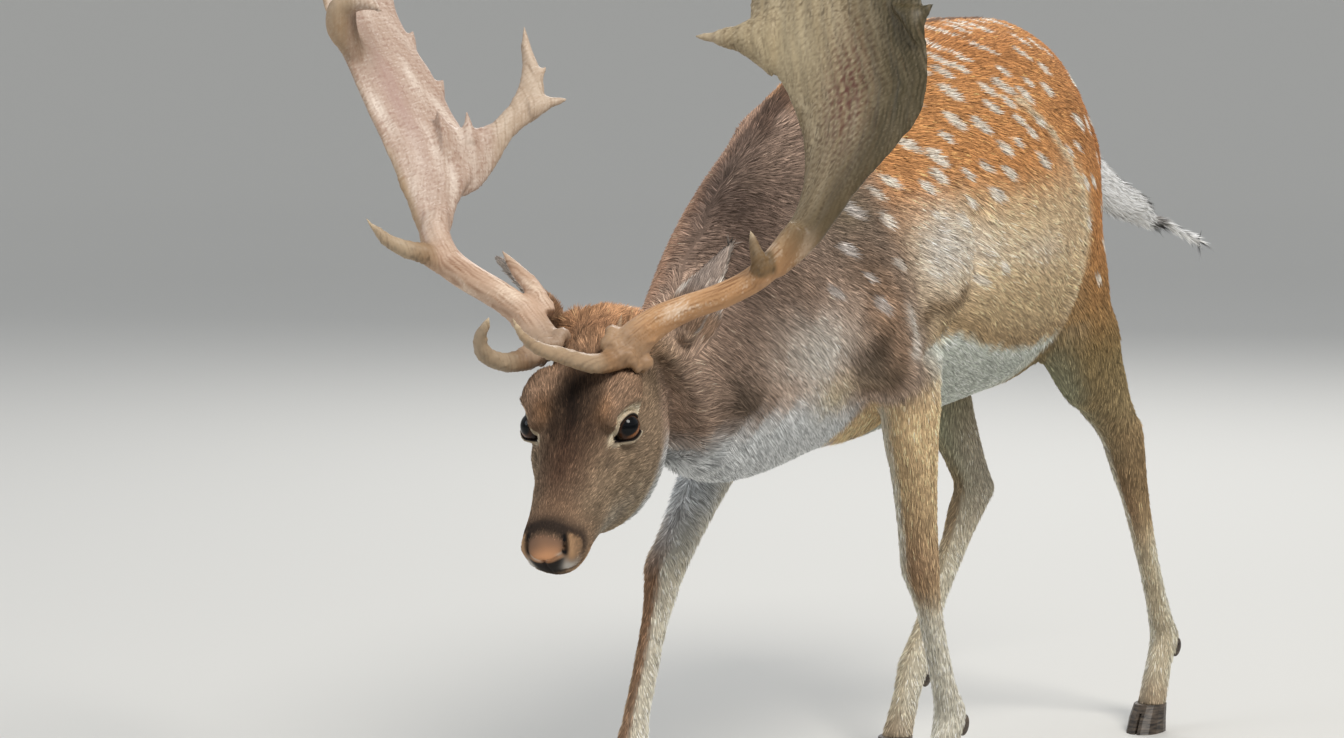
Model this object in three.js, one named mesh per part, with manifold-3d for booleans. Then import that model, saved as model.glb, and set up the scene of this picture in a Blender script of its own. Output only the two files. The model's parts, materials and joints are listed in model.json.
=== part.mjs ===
// A life-size fallow deer buck, walking with its head lowered.
// Millimetres, +Z up. The deer faces -Y and its left side is +X; it stands on z = 0.
import * as THREE from "three";
import Module from "manifold-3d";

const wasm = await Module();
wasm.setup();

// ---------------------------------------------------------------- driving dimensions
const GAP = 0.3;                       // clearance at every parting cut and socket
const CENTRE = [-48.6, 274.1];           // plan position of the middle of the finished box
const BODY_POWER = 2.2;                // squareness of the cross sections (2 = ellipse)
const CORONET_Z = 35;                  // height of the top of every hoof
const EYE_RADIUS = 16;
const HOOF = { toe: 36, heel: 28, halfWidth: 23, topToe: 24, topHeel: 20, topHalf: 20, cleft: 3, cleftTop: 25 };

// Neck and trunk: back line (y, z), belly line (y, z), half width, narrowing above, narrowing below
const BODY = [
  [-335, 588, -250, 448, 48, 0, 0], [-290, 611, -215, 430, 64, 0.1, 0.15], [-245, 655, -172, 421, 75, 0.2, 0.2],
  [-200, 708, -125, 419, 91, 0.3, 0.2], [-145, 762, -78, 423, 103, 0.4, 0.2], [-85, 806, -25, 430, 114, 0.48, 0.25],
  [-15, 848, 35, 436, 122, 0.52, 0.3], [60, 877, 85, 437, 137, 0.5, 0.3], [140, 896, 145, 441, 151, 0.38, 0.25],
  [220, 910, 220, 449, 162, 0.28, 0.15], [300, 921, 300, 458, 166, 0.2, 0.05], [380, 926, 380, 465, 160, 0.18, 0],
  [460, 926, 455, 472, 149, 0.22, 0], [532, 916, 522, 487, 132, 0.26, 0], [593, 894, 578, 512, 110, 0.28, 0],
  [642, 860, 625, 548, 84, 0.26, 0], [683, 820, 668, 588, 60, 0.2, 0], [716, 783, 700, 630, 37, 0.1, 0],
  [734, 750, 726, 680, 14, 0, 0],
];
// Tail: upper line (y, z), lower line (y, z), half width, sideways position
const TAIL = [
  [700, 785, 705, 728, 22, 0], [765, 763, 750, 698, 27, 1], [841, 724, 821, 671, 28, 3], [903, 700, 875, 656, 26, 7],
  [933, 685, 902, 649, 20, 9], [953, 669, 931, 643, 13, 12], [969, 660, 960, 644, 8, 15], [998, 655, 984, 641, 8, 17],
  [1027, 643, 1013, 632, 7, 19], [1064, 631, 1050, 622, 5, 22], [1097, 620, 1091, 616, 1.5, 24],
];
// Shoulder and haunch masses: sideways position, rear edge (y, z), front edge (y, z), half width
const SHOULDER = [
  [40, 90, 835, -40, 810, 18], [58, 120, 775, -80, 735, 32], [76, 132, 700, -100, 665, 42],
  [90, 140, 630, -90, 600, 43], [98, 134, 570, -45, 545, 41],
];
const HAUNCH = [
  [42, 545, 855, 455, 855, 20], [61, 575, 800, 420, 780, 36], [77, 590, 720, 400, 690, 45],
  [89, 598, 645, 400, 605, 45], [95, 614, 580, 432, 540, 41],
];
// Limb stations from elbow or stifle: place along the joints, half width, depth in front, depth behind
const FORE_STATIONS = [
  [0, 36, 50, 42], [0.2, 31, 42, 37], [0.45, 26.5, 33, 30], [0.7, 24, 27, 25], [0.88, 23.5, 25, 24], [1, 23.5, 25, 24],
  [1.13, 20, 20, 20], [1.28, 16, 17, 18], [1.55, 14.8, 16, 16], [1.82, 15.5, 17, 18], [2, 19.5, 20, 24],
  [2.4, 17.5, 18, 19], [3, 20, 20, 20],
];
const HIND_STATIONS = [
  [0, 38, 80, 60], [0.3, 31, 58, 47], [0.6, 25, 42, 38], [0.85, 21.5, 35, 38], [1, 22.5, 36, 42], [1.12, 21, 30, 34],
  [1.28, 17.5, 22, 25], [1.5, 15.5, 18, 18], [1.75, 15, 16, 16], [1.9, 16.5, 18, 19], [2, 19.5, 20, 24],
  [2.4, 17.5, 18, 19], [3, 20, 20, 20],
];
// Joints of each leg: elbow or stifle, knee or hock, fetlock, coffin joint
const JOINTS = {
  foreleg_left: [[104, 88, 500], [100, 122, 300], [100, 197, 118], [100, 163, 28]],
  foreleg_right: [[-99, 45, 470], [-102, -108, 310], [-94, -196, 118], [-93, -243, 28]],
  hindleg_left: [[97, 585, 510], [86, 708, 385], [91, 832, 118], [91, 793, 28]],
  hindleg_right: [[-104, 540, 510], [-85, 625, 325], [-88, 468, 118], [-88, 423, 28]],
};
// Parting plane of each leg: a point on it, and the direction that leads down the leg (y, z)
const LEG_CUT = {
  foreleg_left: [[80, 512], [0, -1]], foreleg_right: [[50, 500], [-0.3, -1]],
  hindleg_left: [[560, 530], [0.25, -1]], hindleg_right: [[530, 530], [0.1, -1]],
};
const NECK_CUT = [[-25, 860], [-120, 410]];   // line between neck and trunk (y, z)

// Head frame: middle of the crown, and directions toward the nose, the left and the top of the skull
const CROWN = new THREE.Vector3(-32.4, -346.3, 623);
const TO_NOSE = new THREE.Vector3(0.1866, -0.7062, -0.6829);
const TO_LEFT = new THREE.Vector3(0.972, 0.234, 0.0237);
const TO_TOP = new THREE.Vector3(0.1431, -0.6682, 0.7301);
// Head: top line (along, up), jaw line (along, up), half width, narrowing above, narrowing below
const HEAD = [
  [-35, -36, 20, -158, 46, 0, 0.1], [-5, -8, 52, -176, 54, 0, 0.1], [30, 8, 88, -188, 59, 0.03, 0.1],
  [65, 13, 118, -186, 61, 0.08, 0.12], [100, 12, 145, -175, 61, 0.12, 0.14], [135, 6, 170, -158, 58, 0.16, 0.16],
  [165, -2, 192, -141, 51, 0.12, 0.16], [195, -8, 212, -120, 44, 0.05, 0.15], [225, -11, 234, -107, 38, 0.05, 0.15],
  [255, -13, 258, -98, 35, 0.08, 0.15], [280, -15, 282, -92, 32, 0.12, 0.2], [300, -19, 299, -77, 27, 0.1, 0.2],
  [314, -30, 310, -55, 14, 0, 0],
];
const BROW = { at: [118, 41, -12], size: [44, 25.5, 21] };    // along, sideways, up
const CREST = { at: [13, 0, -24], size: [31, 56, 29] };        // hair-covered crown between the ears
const EYE_AT = [141, 48.5, -29];
const NOSE_CUT = { from: 291, below: -54 };                   // the bare nose pad starts here
// Ears: middle line (x, y, z) and half width; they are EAR_FLAT as thick as wide
const EAR_FLAT = 0.38;
const EAR_THIN = { ear_left: [0.37, 0.73, -0.57], ear_right: [-0.54, -0.61, -0.58] };   // direction of each ear's thickness
const EARS = {
  ear_left: [[24, -292, 585, 22], [33, -275, 615, 31], [42, -257, 645, 26], [49, -238, 670, 14], [51, -222, 690, 2]],
  ear_right: [[-84, -361, 616, 23], [-98, -354, 620, 28], [-127, -336, 629, 30], [-158, -318, 643, 26], [-188, -300, 657, 14], [-206, -287, 666, 2]],
};
// Antler beams and points: middle line (x, y, z) and radius
const BEAMS = {
  left: [[21, -388, 581, 21], [35, -383, 599, 18.5], [55, -375, 615, 16], [83, -362, 629, 14], [115, -351, 641, 13.5], [143, -339, 657, 13.5], [164, -329, 677, 14], [186, -315, 711, 13.5]],
  right: [[-67, -400, 578, 20.5], [-79, -400, 597, 18.5], [-97, -402, 618, 16.5], [-120, -409, 635, 15.5], [-150, -417, 652, 15.5], [-177, -421, 669, 16], [-195, -418, 692, 16.5], [-204, -408, 720, 15]],
};
// Palms: front edge (x, y, z), rear edge (x, y, z), thickness
const PALMS = {
  left: [
    [150, -328, 678, 172, -329, 660, 22], [161, -307, 703, 200, -315, 689, 24], [169, -287, 732, 223, -302, 725, 22],
    [165, -268, 773, 247, -290, 759, 20], [153, -259, 814, 275, -275, 794, 19], [131, -256, 854, 296, -259, 829, 18],
    [105, -256, 886, 300, -252, 870, 17], [91, -254, 927, 292, -245, 922, 16], [90, -244, 969, 281, -240, 968, 14],
    [101, -233, 1007, 261, -236, 1009, 12], [126, -220, 1041, 233, -238, 1045, 9],
  ],
  right: [
    [-211, -422, 694, -190, -397, 699, 22], [-222, -425, 721, -195, -379, 725, 24], [-238, -425, 752, -192, -356, 755, 22],
    [-261, -423, 794, -202, -341, 789, 20], [-284, -421, 832, -227, -340, 824, 19], [-306, -418, 870, -249, -338, 858, 18],
    [-326, -415, 906, -276, -339, 892, 17], [-346, -411, 943, -301, -338, 935, 16], [-361, -404, 980, -307, -325, 975, 14],
    [-367, -397, 1018, -318, -321, 1019, 12], [-358, -389, 1050, -332, -331, 1056, 9],
  ],
};
const TINES = {
  left: {
    brow: [[29, -389, 584, 15], [20, -413, 574, 12], [14, -446, 574, 10], [3, -481, 584, 8.8], [-7, -509, 593, 7.2], [-14, -529, 608, 5], [-18, -541, 627, 1.2]],
    trez: [[151, -341, 647, 14], [157, -347, 666, 11.5], [157, -356, 689, 7.5], [154, -363, 712, 1.2]],
  },
  right: {
    brow: [[-74, -404, 580, 15], [-81, -427, 571, 12], [-87, -455, 571, 10], [-92, -480, 581, 9], [-89, -493, 598, 7.2], [-79, -498, 612, 5], [-73, -498, 623, 1.2]],
    trez: [[-179, -423, 669, 15], [-190, -446, 679, 11.5], [-204, -471, 687, 9], [-216, -489, 701, 6], [-225, -503, 719, 1.2]],
    bez: [[-79, -386, 615, 13], [-97, -382, 642, 10], [-118, -381, 661, 7.5], [-139, -379, 682, 1.2]],
    back: [[-200, -354, 765, 20], [-185, -324, 798, 17], [-177, -299, 823, 14], [-173, -282, 849, 12], [-176, -268, 881, 8.5], [-189, -260, 919, 1.2]],
    back_side: [[-177, -298, 826, 12], [-155, -272, 835, 7.5], [-138, -250, 837, 1]],
  },
};
const SPURS = {
  left: [
    [[120, -251, 901, 16], [90, -263, 903, 11], [61, -275, 904, 6.5], [39, -282, 905, 1.2]], [[272, -251, 917, 12], [289, -246, 930, 6.5], [301, -243, 940, 1]],
    [[111, -236, 984, 14], [83, -237, 1021, 8], [64, -233, 1052, 1]], [[154, -229, 1025, 14], [138, -221, 1072, 8], [127, -213, 1104, 1]],
    [[213, -239, 1030, 14], [215, -227, 1076, 8], [215, -218, 1107, 1]], [[255, -242, 994, 12], [276, -231, 1024, 6.5], [292, -225, 1044, 1]],
  ],
  right: [
    [[-225, -347, 809, 9], [-220, -337, 817, 5], [-217, -328, 825, 1]], [[-284, -358, 873, 10], [-282, -345, 892, 6], [-282, -335, 908, 1]],
    [[-330, -379, 930, 12], [-321, -361, 939, 8], [-312, -345, 929, 1]], [[-321, -330, 1008, 13], [-310, -307, 1046, 7], [-308, -291, 1078, 1]],
    [[-343, -363, 1039, 13], [-349, -350, 1083, 7], [-358, -340, 1115, 1]], [[-359, -398, 1023, 12], [-382, -403, 1055, 6.5], [-398, -404, 1076, 1]],
  ],
};
const RINGS = { body: 16, leg: 10, head: 16, tail: 8, ear: 8, palm: 8, beam: 8, tine: 6, eye: 6 };   // sides of each cross section

// ---------------------------------------------------------------- helpers
// Rows of numbers carried smoothly (Catmull-Rom) through the given rows, `per` steps between two rows.
function smooth(rows, per) {
  const end = rows.length - 1;
  const mirror = (a, b) => a.map((v, k) => 2 * v - b[k]);
  const at = (k) => (k < 0 ? mirror(rows[0], rows[1]) : k > end ? mirror(rows[end], rows[end - 1]) : rows[k]);
  const out = [];
  for (let i = 0; i < end; i++) {
    const [p0, p1, p2, p3] = [at(i - 1), at(i), at(i + 1), at(i + 2)];
    for (let j = 0; j < per; j++) {
      const f = j / per;
      out.push(p1.map((v, k) => 0.5 * (2 * v + (p2[k] - p0[k]) * f + (2 * p0[k] - 5 * v + 4 * p2[k] - p3[k]) * f * f
        + (3 * v - p0[k] - 3 * p2[k] + p3[k]) * f * f * f)));
    }
  }
  out.push(rows[end]);
  return out;
}

// A closed solid through rings of points; each end is closed to its middle.
function solid(rings) {
  const sides = rings[0].length;
  const pos = rings.flat().flatMap((p) => [p.x, p.y, p.z]);
  const tri = [];
  for (let i = 0; i + 1 < rings.length; i++) {
    for (let j = 0; j < sides; j++) {
      const a = i * sides + j, b = i * sides + ((j + 1) % sides);
      tri.push(a, b, b + sides, a, b + sides, a + sides);
    }
  }
  [0, rings.length - 1].forEach((i, end) => {
    const mid = rings[i].reduce((s, p) => s.add(p), new THREE.Vector3()).divideScalar(sides);
    const m = pos.length / 3;
    pos.push(mid.x, mid.y, mid.z);
    for (let j = 0; j < sides; j++) {
      const a = i * sides + j, b = i * sides + ((j + 1) % sides);
      if (end) tri.push(m, a, b); else tri.push(m, b, a);
    }
  });
  return closed(pos, tri);
}

// A manifold solid, turned outward if its volume comes out negative.
function closed(pos, tri) {
  let volume = 0;
  const v = (i) => new THREE.Vector3(pos[3 * i], pos[3 * i + 1], pos[3 * i + 2]);
  for (let i = 0; i < tri.length; i += 3) volume += v(tri[i]).dot(v(tri[i + 1]).cross(v(tri[i + 2])));
  if (volume < 0) for (let i = 0; i < tri.length; i += 3) [tri[i], tri[i + 1]] = [tri[i + 1], tri[i]];
  return new wasm.Manifold(new wasm.Mesh({ numProp: 3, vertProperties: new Float32Array(pos), triVerts: new Uint32Array(tri) }));
}

// Superellipse direction: x and y of the unit cross section at angle t.
function around(t, power) {
  const c = Math.cos(t), s = Math.sin(t), e = 2 / power;
  return [Math.sign(c) * Math.abs(c) ** e, Math.sign(s) * Math.abs(s) ** e];
}

// Cross sections between an upper and a lower line: each row holds top, bottom, side direction, half width and narrowings.
function between(rows, sides, power, grow = 0) {
  return solid(rows.map(({ top, bottom, side, half, above, below }) => {
    const mid = top.clone().add(bottom).multiplyScalar(0.5);
    const up = top.clone().sub(bottom).multiplyScalar(0.5);
    up.setLength(up.length() + grow);
    return Array.from({ length: sides }, (_, j) => {
      const [a, b] = around((2 * Math.PI * j) / sides, power);
      const w = (half + grow) * a * (1 - (b > 0 ? above : below) * b * b);
      return mid.clone().addScaledVector(side, w).addScaledVector(up, b);
    });
  }));
}

const X = new THREE.Vector3(1, 0, 0);
const bodySolid = (grow = 0) => between(smooth(BODY, 2).map(([ty, tz, by, bz, w, na, nb]) => ({
  top: new THREE.Vector3(0, ty, tz), bottom: new THREE.Vector3(0, by, bz), side: X, half: w, above: na, below: nb })),
  RINGS.body, BODY_POWER, grow);
const tailSolid = () => between(smooth(TAIL, 1).map(([ty, tz, by, bz, w, x]) => ({
  top: new THREE.Vector3(x, ty, tz), bottom: new THREE.Vector3(x, by, bz), side: X, half: w, above: 0, below: 0 })),
  RINGS.tail, 2.1);
const headPoint = (along, side, up) => CROWN.clone().addScaledVector(TO_NOSE, along).addScaledVector(TO_LEFT, side).addScaledVector(TO_TOP, up);
const headSolid = (grow = 0) => between(smooth(HEAD, 2).map(([ts, tn, bs, bn, w, na, nb]) => ({
  top: headPoint(ts, 0, tn), bottom: headPoint(bs, 0, bn), side: TO_LEFT.clone().negate(), half: w, above: na, below: nb })),
  RINGS.head, 2.25, grow);

// Limb rows: at each station a front and a rear point, square to a direction that turns smoothly at the joints.
function limbRows(joints, stations) {
  const J = joints.map((p) => new THREE.Vector3(...p));
  const D = J.slice(1).map((p, i) => p.clone().sub(J[i]).normalize());
  return stations.map(([t, half, front, behind]) => {
    const i = Math.min(Math.floor(t), D.length - 1), u = t - i;
    const mid = J[i].clone().lerp(J[i + 1], u);
    const other = u < 0.5 ? D[Math.max(i - 1, 0)] : D[Math.min(i + 1, D.length - 1)];
    const w = u < 0.5 ? 0.5 + u : 1.5 - u;
    const d = D[i].clone().multiplyScalar(w).addScaledVector(other, 1 - w);
    const back = new THREE.Vector3(0, -d.z, d.y).normalize();
    const rear = mid.clone().addScaledVector(back, behind), fore = mid.clone().addScaledVector(back, -front);
    return [mid.x, rear.y, rear.z, fore.y, fore.z, half];
  });
}
function legRings(name) {
  const sign = name.endsWith("left") ? 1 : -1;
  const fore = name.startsWith("fore");
  const mass = (fore ? SHOULDER : HAUNCH).map(([x, ...rest]) => [sign * x, ...rest]);
  return [...mass, ...limbRows(JOINTS[name], fore ? FORE_STATIONS : HIND_STATIONS)];
}
const legSolid = (name, grow = 0) => between(legRings(name).map(([x, ry, rz, fy, fz, w]) => ({
  top: new THREE.Vector3(x, ry, rz), bottom: new THREE.Vector3(x, fy, fz), side: X, half: w, above: 0, below: 0 })),
  RINGS.leg, 2.1, grow);

// A round rod through points, its rings square to the path and carried without twist.
function rod(rows, sides, per, grow = 0, flat = 1, flatAlong = null) {
  const path = smooth(rows, per);
  const pts = path.map(([x, y, z]) => new THREE.Vector3(x, y, z));
  let u = null;
  return solid(pts.map((p, i) => {
    const t = pts[Math.min(i + 1, pts.length - 1)].clone().sub(pts[Math.max(i - 1, 0)]).normalize();
    if (!u) u = (flatAlong ?? (Math.abs(t.z) < 0.9 ? new THREE.Vector3(0, 0, 1) : X)).clone();
    u.addScaledVector(t, -u.dot(t)).normalize();
    const v = t.clone().cross(u);
    const r = path[i][3] + grow;
    return Array.from({ length: sides }, (_, j) => {
      const a = (2 * Math.PI * j) / sides;
      return p.clone().addScaledVector(u, r * flat * Math.cos(a)).addScaledVector(v, r * Math.sin(a));
    });
  }));
}

// A palm: a lens-shaped plate between its two edges.
function plate(rows, sides, per, grow = 0) {
  const path = smooth(rows, per);
  const A = path.map((r) => new THREE.Vector3(r[0], r[1], r[2])), B = path.map((r) => new THREE.Vector3(r[3], r[4], r[5]));
  const mids = A.map((a, i) => a.clone().add(B[i]).multiplyScalar(0.5));
  return solid(mids.map((mid, i) => {
    const e = A[i].clone().sub(B[i]).multiplyScalar(0.5);
    e.setLength(e.length() + grow);
    const t = mids[Math.min(i + 1, mids.length - 1)].clone().sub(mids[Math.max(i - 1, 0)]);
    const n = e.clone().cross(t).normalize().multiplyScalar(path[i][6] / 2 + grow);
    return Array.from({ length: sides }, (_, j) => {
      const a = (2 * Math.PI * j) / sides;
      return mid.clone().addScaledVector(e, Math.cos(a)).addScaledVector(n, Math.sin(a));
    });
  }));
}

// A three.js geometry as a solid, after a placement.
function placed(geometry, matrix) {
  const g = geometry.index ? geometry.toNonIndexed() : geometry;
  g.applyMatrix4(matrix);
  const p = g.attributes.position, index = new Map(), pos = [], tri = [];
  for (let i = 0; i < p.count; i++) {
    const key = [p.getX(i), p.getY(i), p.getZ(i)].map((v) => Math.round(v * 1000)).join();
    if (!index.has(key)) { index.set(key, pos.length / 3); pos.push(p.getX(i), p.getY(i), p.getZ(i)); }
    tri.push(index.get(key));
  }
  const keep = [];
  for (let i = 0; i < tri.length; i += 3) {
    if (tri[i] !== tri[i + 1] && tri[i + 1] !== tri[i + 2] && tri[i] !== tri[i + 2]) keep.push(tri[i], tri[i + 1], tri[i + 2]);
  }
  return closed(pos, keep);
}
const BIG = 3000;
// Everything on the side of a plane that `normal` points to, kept GAP / 2 off the plane.
function beyond(point, normal) {
  const m = new THREE.Matrix4().makeRotationFromQuaternion(new THREE.Quaternion().setFromUnitVectors(new THREE.Vector3(0, 0, 1), normal.clone().normalize()));
  m.setPosition(point.clone().addScaledVector(normal.clone().normalize(), BIG / 2 + GAP / 2));
  return placed(new THREE.BoxGeometry(BIG, BIG, BIG), m);
}
// An ellipsoid in the head's directions.
function headEllipsoid([along, side, up], [sa, sl, sn], rows, grow = 0) {
  const m = new THREE.Matrix4().makeBasis(TO_NOSE.clone().multiplyScalar(sa + grow), TO_LEFT.clone().multiplyScalar(sl + grow), TO_TOP.clone().multiplyScalar(sn + grow));
  return placed(new THREE.SphereGeometry(1, 2 * rows, rows), m.setPosition(headPoint(along, side, up)));
}

// ---------------------------------------------------------------- flesh, parted into its named pieces
const pieces = [];
const give = (name, shape, colour, roughness = 0.9) => pieces.push({ name, shape, colour, roughness });
const COAT = { head: 0x8a6a4c, neck: 0x6f5c4b, trunk: 0xa9733f, leg: 0x9c7a58, tail: 0xe9e2d6, ear: 0x86776a };
const HORN = { left: 0x7d6a47, right: 0xa68f7c }, HOOF_COLOUR = 0x2a2420, NOSE_COLOUR = 0x1b1715, EYE_COLOUR = 0x1a1009;
const sides = { left: 1, right: -1 };

let core = bodySolid();
const legs = {};
for (const name of Object.keys(JOINTS)) {
  const [[py, pz], [ny, nz]] = LEG_CUT[name];
  const down = new THREE.Vector3(0, ny, nz), at = new THREE.Vector3(0, py, pz);
  const leg = legSolid(name);
  core = core.add(leg.intersect(beyond(at, down.clone().negate())));
  const [, , fetlock, coffin] = JOINTS[name];
  const dewclaws = [-1, 1].map((s) => rod([
    [fetlock[0] + 9 * s, fetlock[1] + 4, fetlock[2] - 18, 6], [fetlock[0] + 11 * s, fetlock[1] + 12, fetlock[2] - 32, 8],
    [fetlock[0] + 12 * s, fetlock[1] + 14, fetlock[2] - 46, 3]], 6, 1));
  legs[name] = leg.intersect(beyond(at, down)).subtract(bodySolid(GAP))
    .intersect(beyond(new THREE.Vector3(0, 0, CORONET_Z), new THREE.Vector3(0, 0, 1))).add(dewclaws[0]).add(dewclaws[1]);
  const [hx, hy] = [coffin[0], coffin[1]];
  const ring = (z, front, back, half, shift) => Array.from({ length: 14 }, (_, j) => {
    const [a, b] = around((2 * Math.PI * j) / 14, 2.3);
    return new THREE.Vector3(hx + half * a, hy + shift + (b > 0 ? back : front) * b, z);
  });
  const cleft = placed(new THREE.BoxGeometry(HOOF.cleft, 200, 100), new THREE.Matrix4().makeTranslation(hx, hy, HOOF.cleftTop - 50));
  legs[`hoof_${name.replace("leg", "")}`] = solid([
    ring(0, HOOF.toe, HOOF.heel, HOOF.halfWidth, -12), ring(CORONET_Z * 0.5, HOOF.toe - 6, HOOF.heel - 4, HOOF.halfWidth - 1, -8),
    ring(CORONET_Z, HOOF.topToe, HOOF.topHeel, HOOF.topHalf, 0)]).subtract(cleft);
}

// Head, neck and trunk are one form cut by two planes.
const brows = Object.values(sides).map((s) => headEllipsoid([BROW.at[0], s * BROW.at[1], BROW.at[2]], BROW.size, 5));
const whole = core.add(headSolid()).add(brows[0]).add(brows[1]).add(headEllipsoid(CREST.at, CREST.size, 5));
const jawBack = headPoint(60, 0, -170).sub(headPoint(0, 0, 0)).normalize();
const headWard = TO_NOSE.clone().addScaledVector(jawBack, -TO_NOSE.dot(jawBack)).normalize();
const headAt = headPoint(0, 0, 0);
const [[ny1, nz1], [ny2, nz2]] = NECK_CUT;
const neckWard = new THREE.Vector3(0, -(nz1 - nz2), ny1 - ny2).normalize();
const neckAt = new THREE.Vector3(0, ny1, nz1);

const eyeAt = (s) => [EYE_AT[0], s * EYE_AT[1], EYE_AT[2]];
const eyeSize = [EYE_RADIUS, EYE_RADIUS, EYE_RADIUS];
const beamSolid = (k, grow = 0) => rod(BEAMS[k], RINGS.beam, 2, grow);
const tineSolid = (rows, grow = 0) => rod(rows, RINGS.tine, 1, grow);
let head = whole.intersect(beyond(headAt, headWard));
for (const [k, s] of Object.entries(sides)) {
  head = head.subtract(headEllipsoid(eyeAt(s), eyeSize, RINGS.eye, GAP)).subtract(beamSolid(k, GAP)).subtract(tineSolid(TINES[k].brow, GAP));
}
head = head.subtract(tineSolid(TINES.right.bez, GAP));
const noseBox = (grow) => {
  const m = new THREE.Matrix4().makeBasis(TO_NOSE, TO_LEFT, TO_TOP);
  return placed(new THREE.BoxGeometry(200, 200, 200), m.setPosition(headPoint(NOSE_CUT.from + 100 - grow, 0, NOSE_CUT.below + 100 - grow)));
};
give("head", head.subtract(noseBox(GAP)), COAT.head);
give("nose_pad", head.intersect(noseBox(0)), NOSE_COLOUR, 0.45);
give("neck", whole.intersect(beyond(headAt, headWard.clone().negate())).intersect(beyond(neckAt, neckWard)), COAT.neck);
const trunk = whole.intersect(beyond(neckAt, neckWard.clone().negate()));
const tail = tailSolid().subtract(bodySolid(GAP)).subtract(legSolid("hindleg_left", GAP)).subtract(legSolid("hindleg_right", GAP));
give("trunk", trunk, COAT.trunk);
give("tail", tail, COAT.tail);
for (const [name, shape] of Object.entries(legs)) give(name, shape, name.startsWith("hoof") ? HOOF_COLOUR : COAT.leg, name.startsWith("hoof") ? 0.55 : 0.9);

for (const [k, s] of Object.entries(sides)) {
  give(`eye_${k}`, headEllipsoid(eyeAt(s), eyeSize, RINGS.eye), EYE_COLOUR, 0.15);
  let ear = rod(EARS[`ear_${k}`], RINGS.ear, 2, 0, EAR_FLAT, new THREE.Vector3(...EAR_THIN[`ear_${k}`]))
    .subtract(headSolid(GAP)).subtract(headEllipsoid(CREST.at, CREST.size, 5, GAP)).subtract(bodySolid(GAP)).subtract(beamSolid(k, GAP));
  if (TINES[k].bez) ear = ear.subtract(tineSolid(TINES[k].bez, GAP));
  give(`ear_${k}`, ear, COAT.ear);

  // Antler: beam first, then the palm with its spurs, then the points, each clear of what it grows from.
  const beam = beamSolid(k);
  give(`antler_${k}_beam`, beam, HORN[k], 0.7);
  let palm = plate(PALMS[k], RINGS.palm, 1), palmSocket = plate(PALMS[k], RINGS.palm, 1, GAP);
  for (const spur of SPURS[k]) palm = palm.add(tineSolid(spur));
  give(`antler_${k}_palm`, palm.subtract(beamSolid(k, GAP)), HORN[k], 0.7);
  let before = [beamSolid(k, GAP), palmSocket];
  for (const [point, rows] of Object.entries(TINES[k])) {
    let tine = tineSolid(rows);
    for (const b of before) tine = tine.subtract(b);
    give(`antler_${k}_${point}_tine`, tine, HORN[k], 0.7);
    before.push(tineSolid(rows, GAP));
  }
}

// ---------------------------------------------------------------- scene graph
const deer = new THREE.Group();
deer.name = "fallow_deer";
for (const { name, shape, colour, roughness } of pieces) {
  const got = shape.getMesh();
  const pos = new Float32Array(got.numVert * 3);
  for (let i = 0; i < got.numVert; i++) for (let k = 0; k < 3; k++) pos[3 * i + k] = got.vertProperties[got.numProp * i + k];
  const geometry = new THREE.BufferGeometry();
  geometry.setAttribute("position", new THREE.BufferAttribute(pos, 3));
  geometry.setIndex(new THREE.BufferAttribute(new Uint32Array(got.triVerts), 1));
  geometry.translate(-CENTRE[0], -CENTRE[1], 0);
  geometry.computeVertexNormals();
  const mesh = new THREE.Mesh(geometry, new THREE.MeshStandardMaterial({ color: colour, roughness, metalness: 0 }));
  mesh.name = name;
  deer.add(mesh);
}

export default deer;
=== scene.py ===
"""A life-size fallow deer buck, walking with its head lowered.

Metres, +Z up. The deer faces -Y and its left side is +X. Every shape is a numpy surface worked out
in the deer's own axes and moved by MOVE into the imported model's frame.
"""
import math

import bpy
import numpy as np
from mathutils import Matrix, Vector
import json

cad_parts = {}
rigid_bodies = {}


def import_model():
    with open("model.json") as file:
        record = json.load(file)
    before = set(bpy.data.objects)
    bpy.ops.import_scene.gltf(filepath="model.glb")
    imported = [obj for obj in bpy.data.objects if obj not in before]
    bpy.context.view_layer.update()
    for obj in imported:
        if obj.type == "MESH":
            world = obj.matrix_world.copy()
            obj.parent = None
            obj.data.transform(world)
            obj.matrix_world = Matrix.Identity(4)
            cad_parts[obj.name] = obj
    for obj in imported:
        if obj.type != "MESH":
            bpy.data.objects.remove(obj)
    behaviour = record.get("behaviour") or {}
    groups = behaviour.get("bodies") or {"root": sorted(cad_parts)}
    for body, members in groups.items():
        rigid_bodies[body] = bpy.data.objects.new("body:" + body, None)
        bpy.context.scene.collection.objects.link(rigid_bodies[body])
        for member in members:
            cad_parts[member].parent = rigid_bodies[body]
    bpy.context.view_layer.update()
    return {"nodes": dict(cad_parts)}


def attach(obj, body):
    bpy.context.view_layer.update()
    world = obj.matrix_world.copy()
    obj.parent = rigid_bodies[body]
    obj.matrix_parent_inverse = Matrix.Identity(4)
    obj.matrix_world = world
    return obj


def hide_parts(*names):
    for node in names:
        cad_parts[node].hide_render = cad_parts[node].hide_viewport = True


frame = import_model()
rng = np.random.default_rng(11)
MOVE = np.array([0.0486, -0.2741, 0.0])      # from the deer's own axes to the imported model's frame

# ---------------------------------------------------------------- camera
EYE_POINT = np.array([2.07365, -3.69138, 0.93403])
AZIMUTH, ELEVATION, LENS = math.radians(31.15), math.radians(5.44), 101.41

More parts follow.
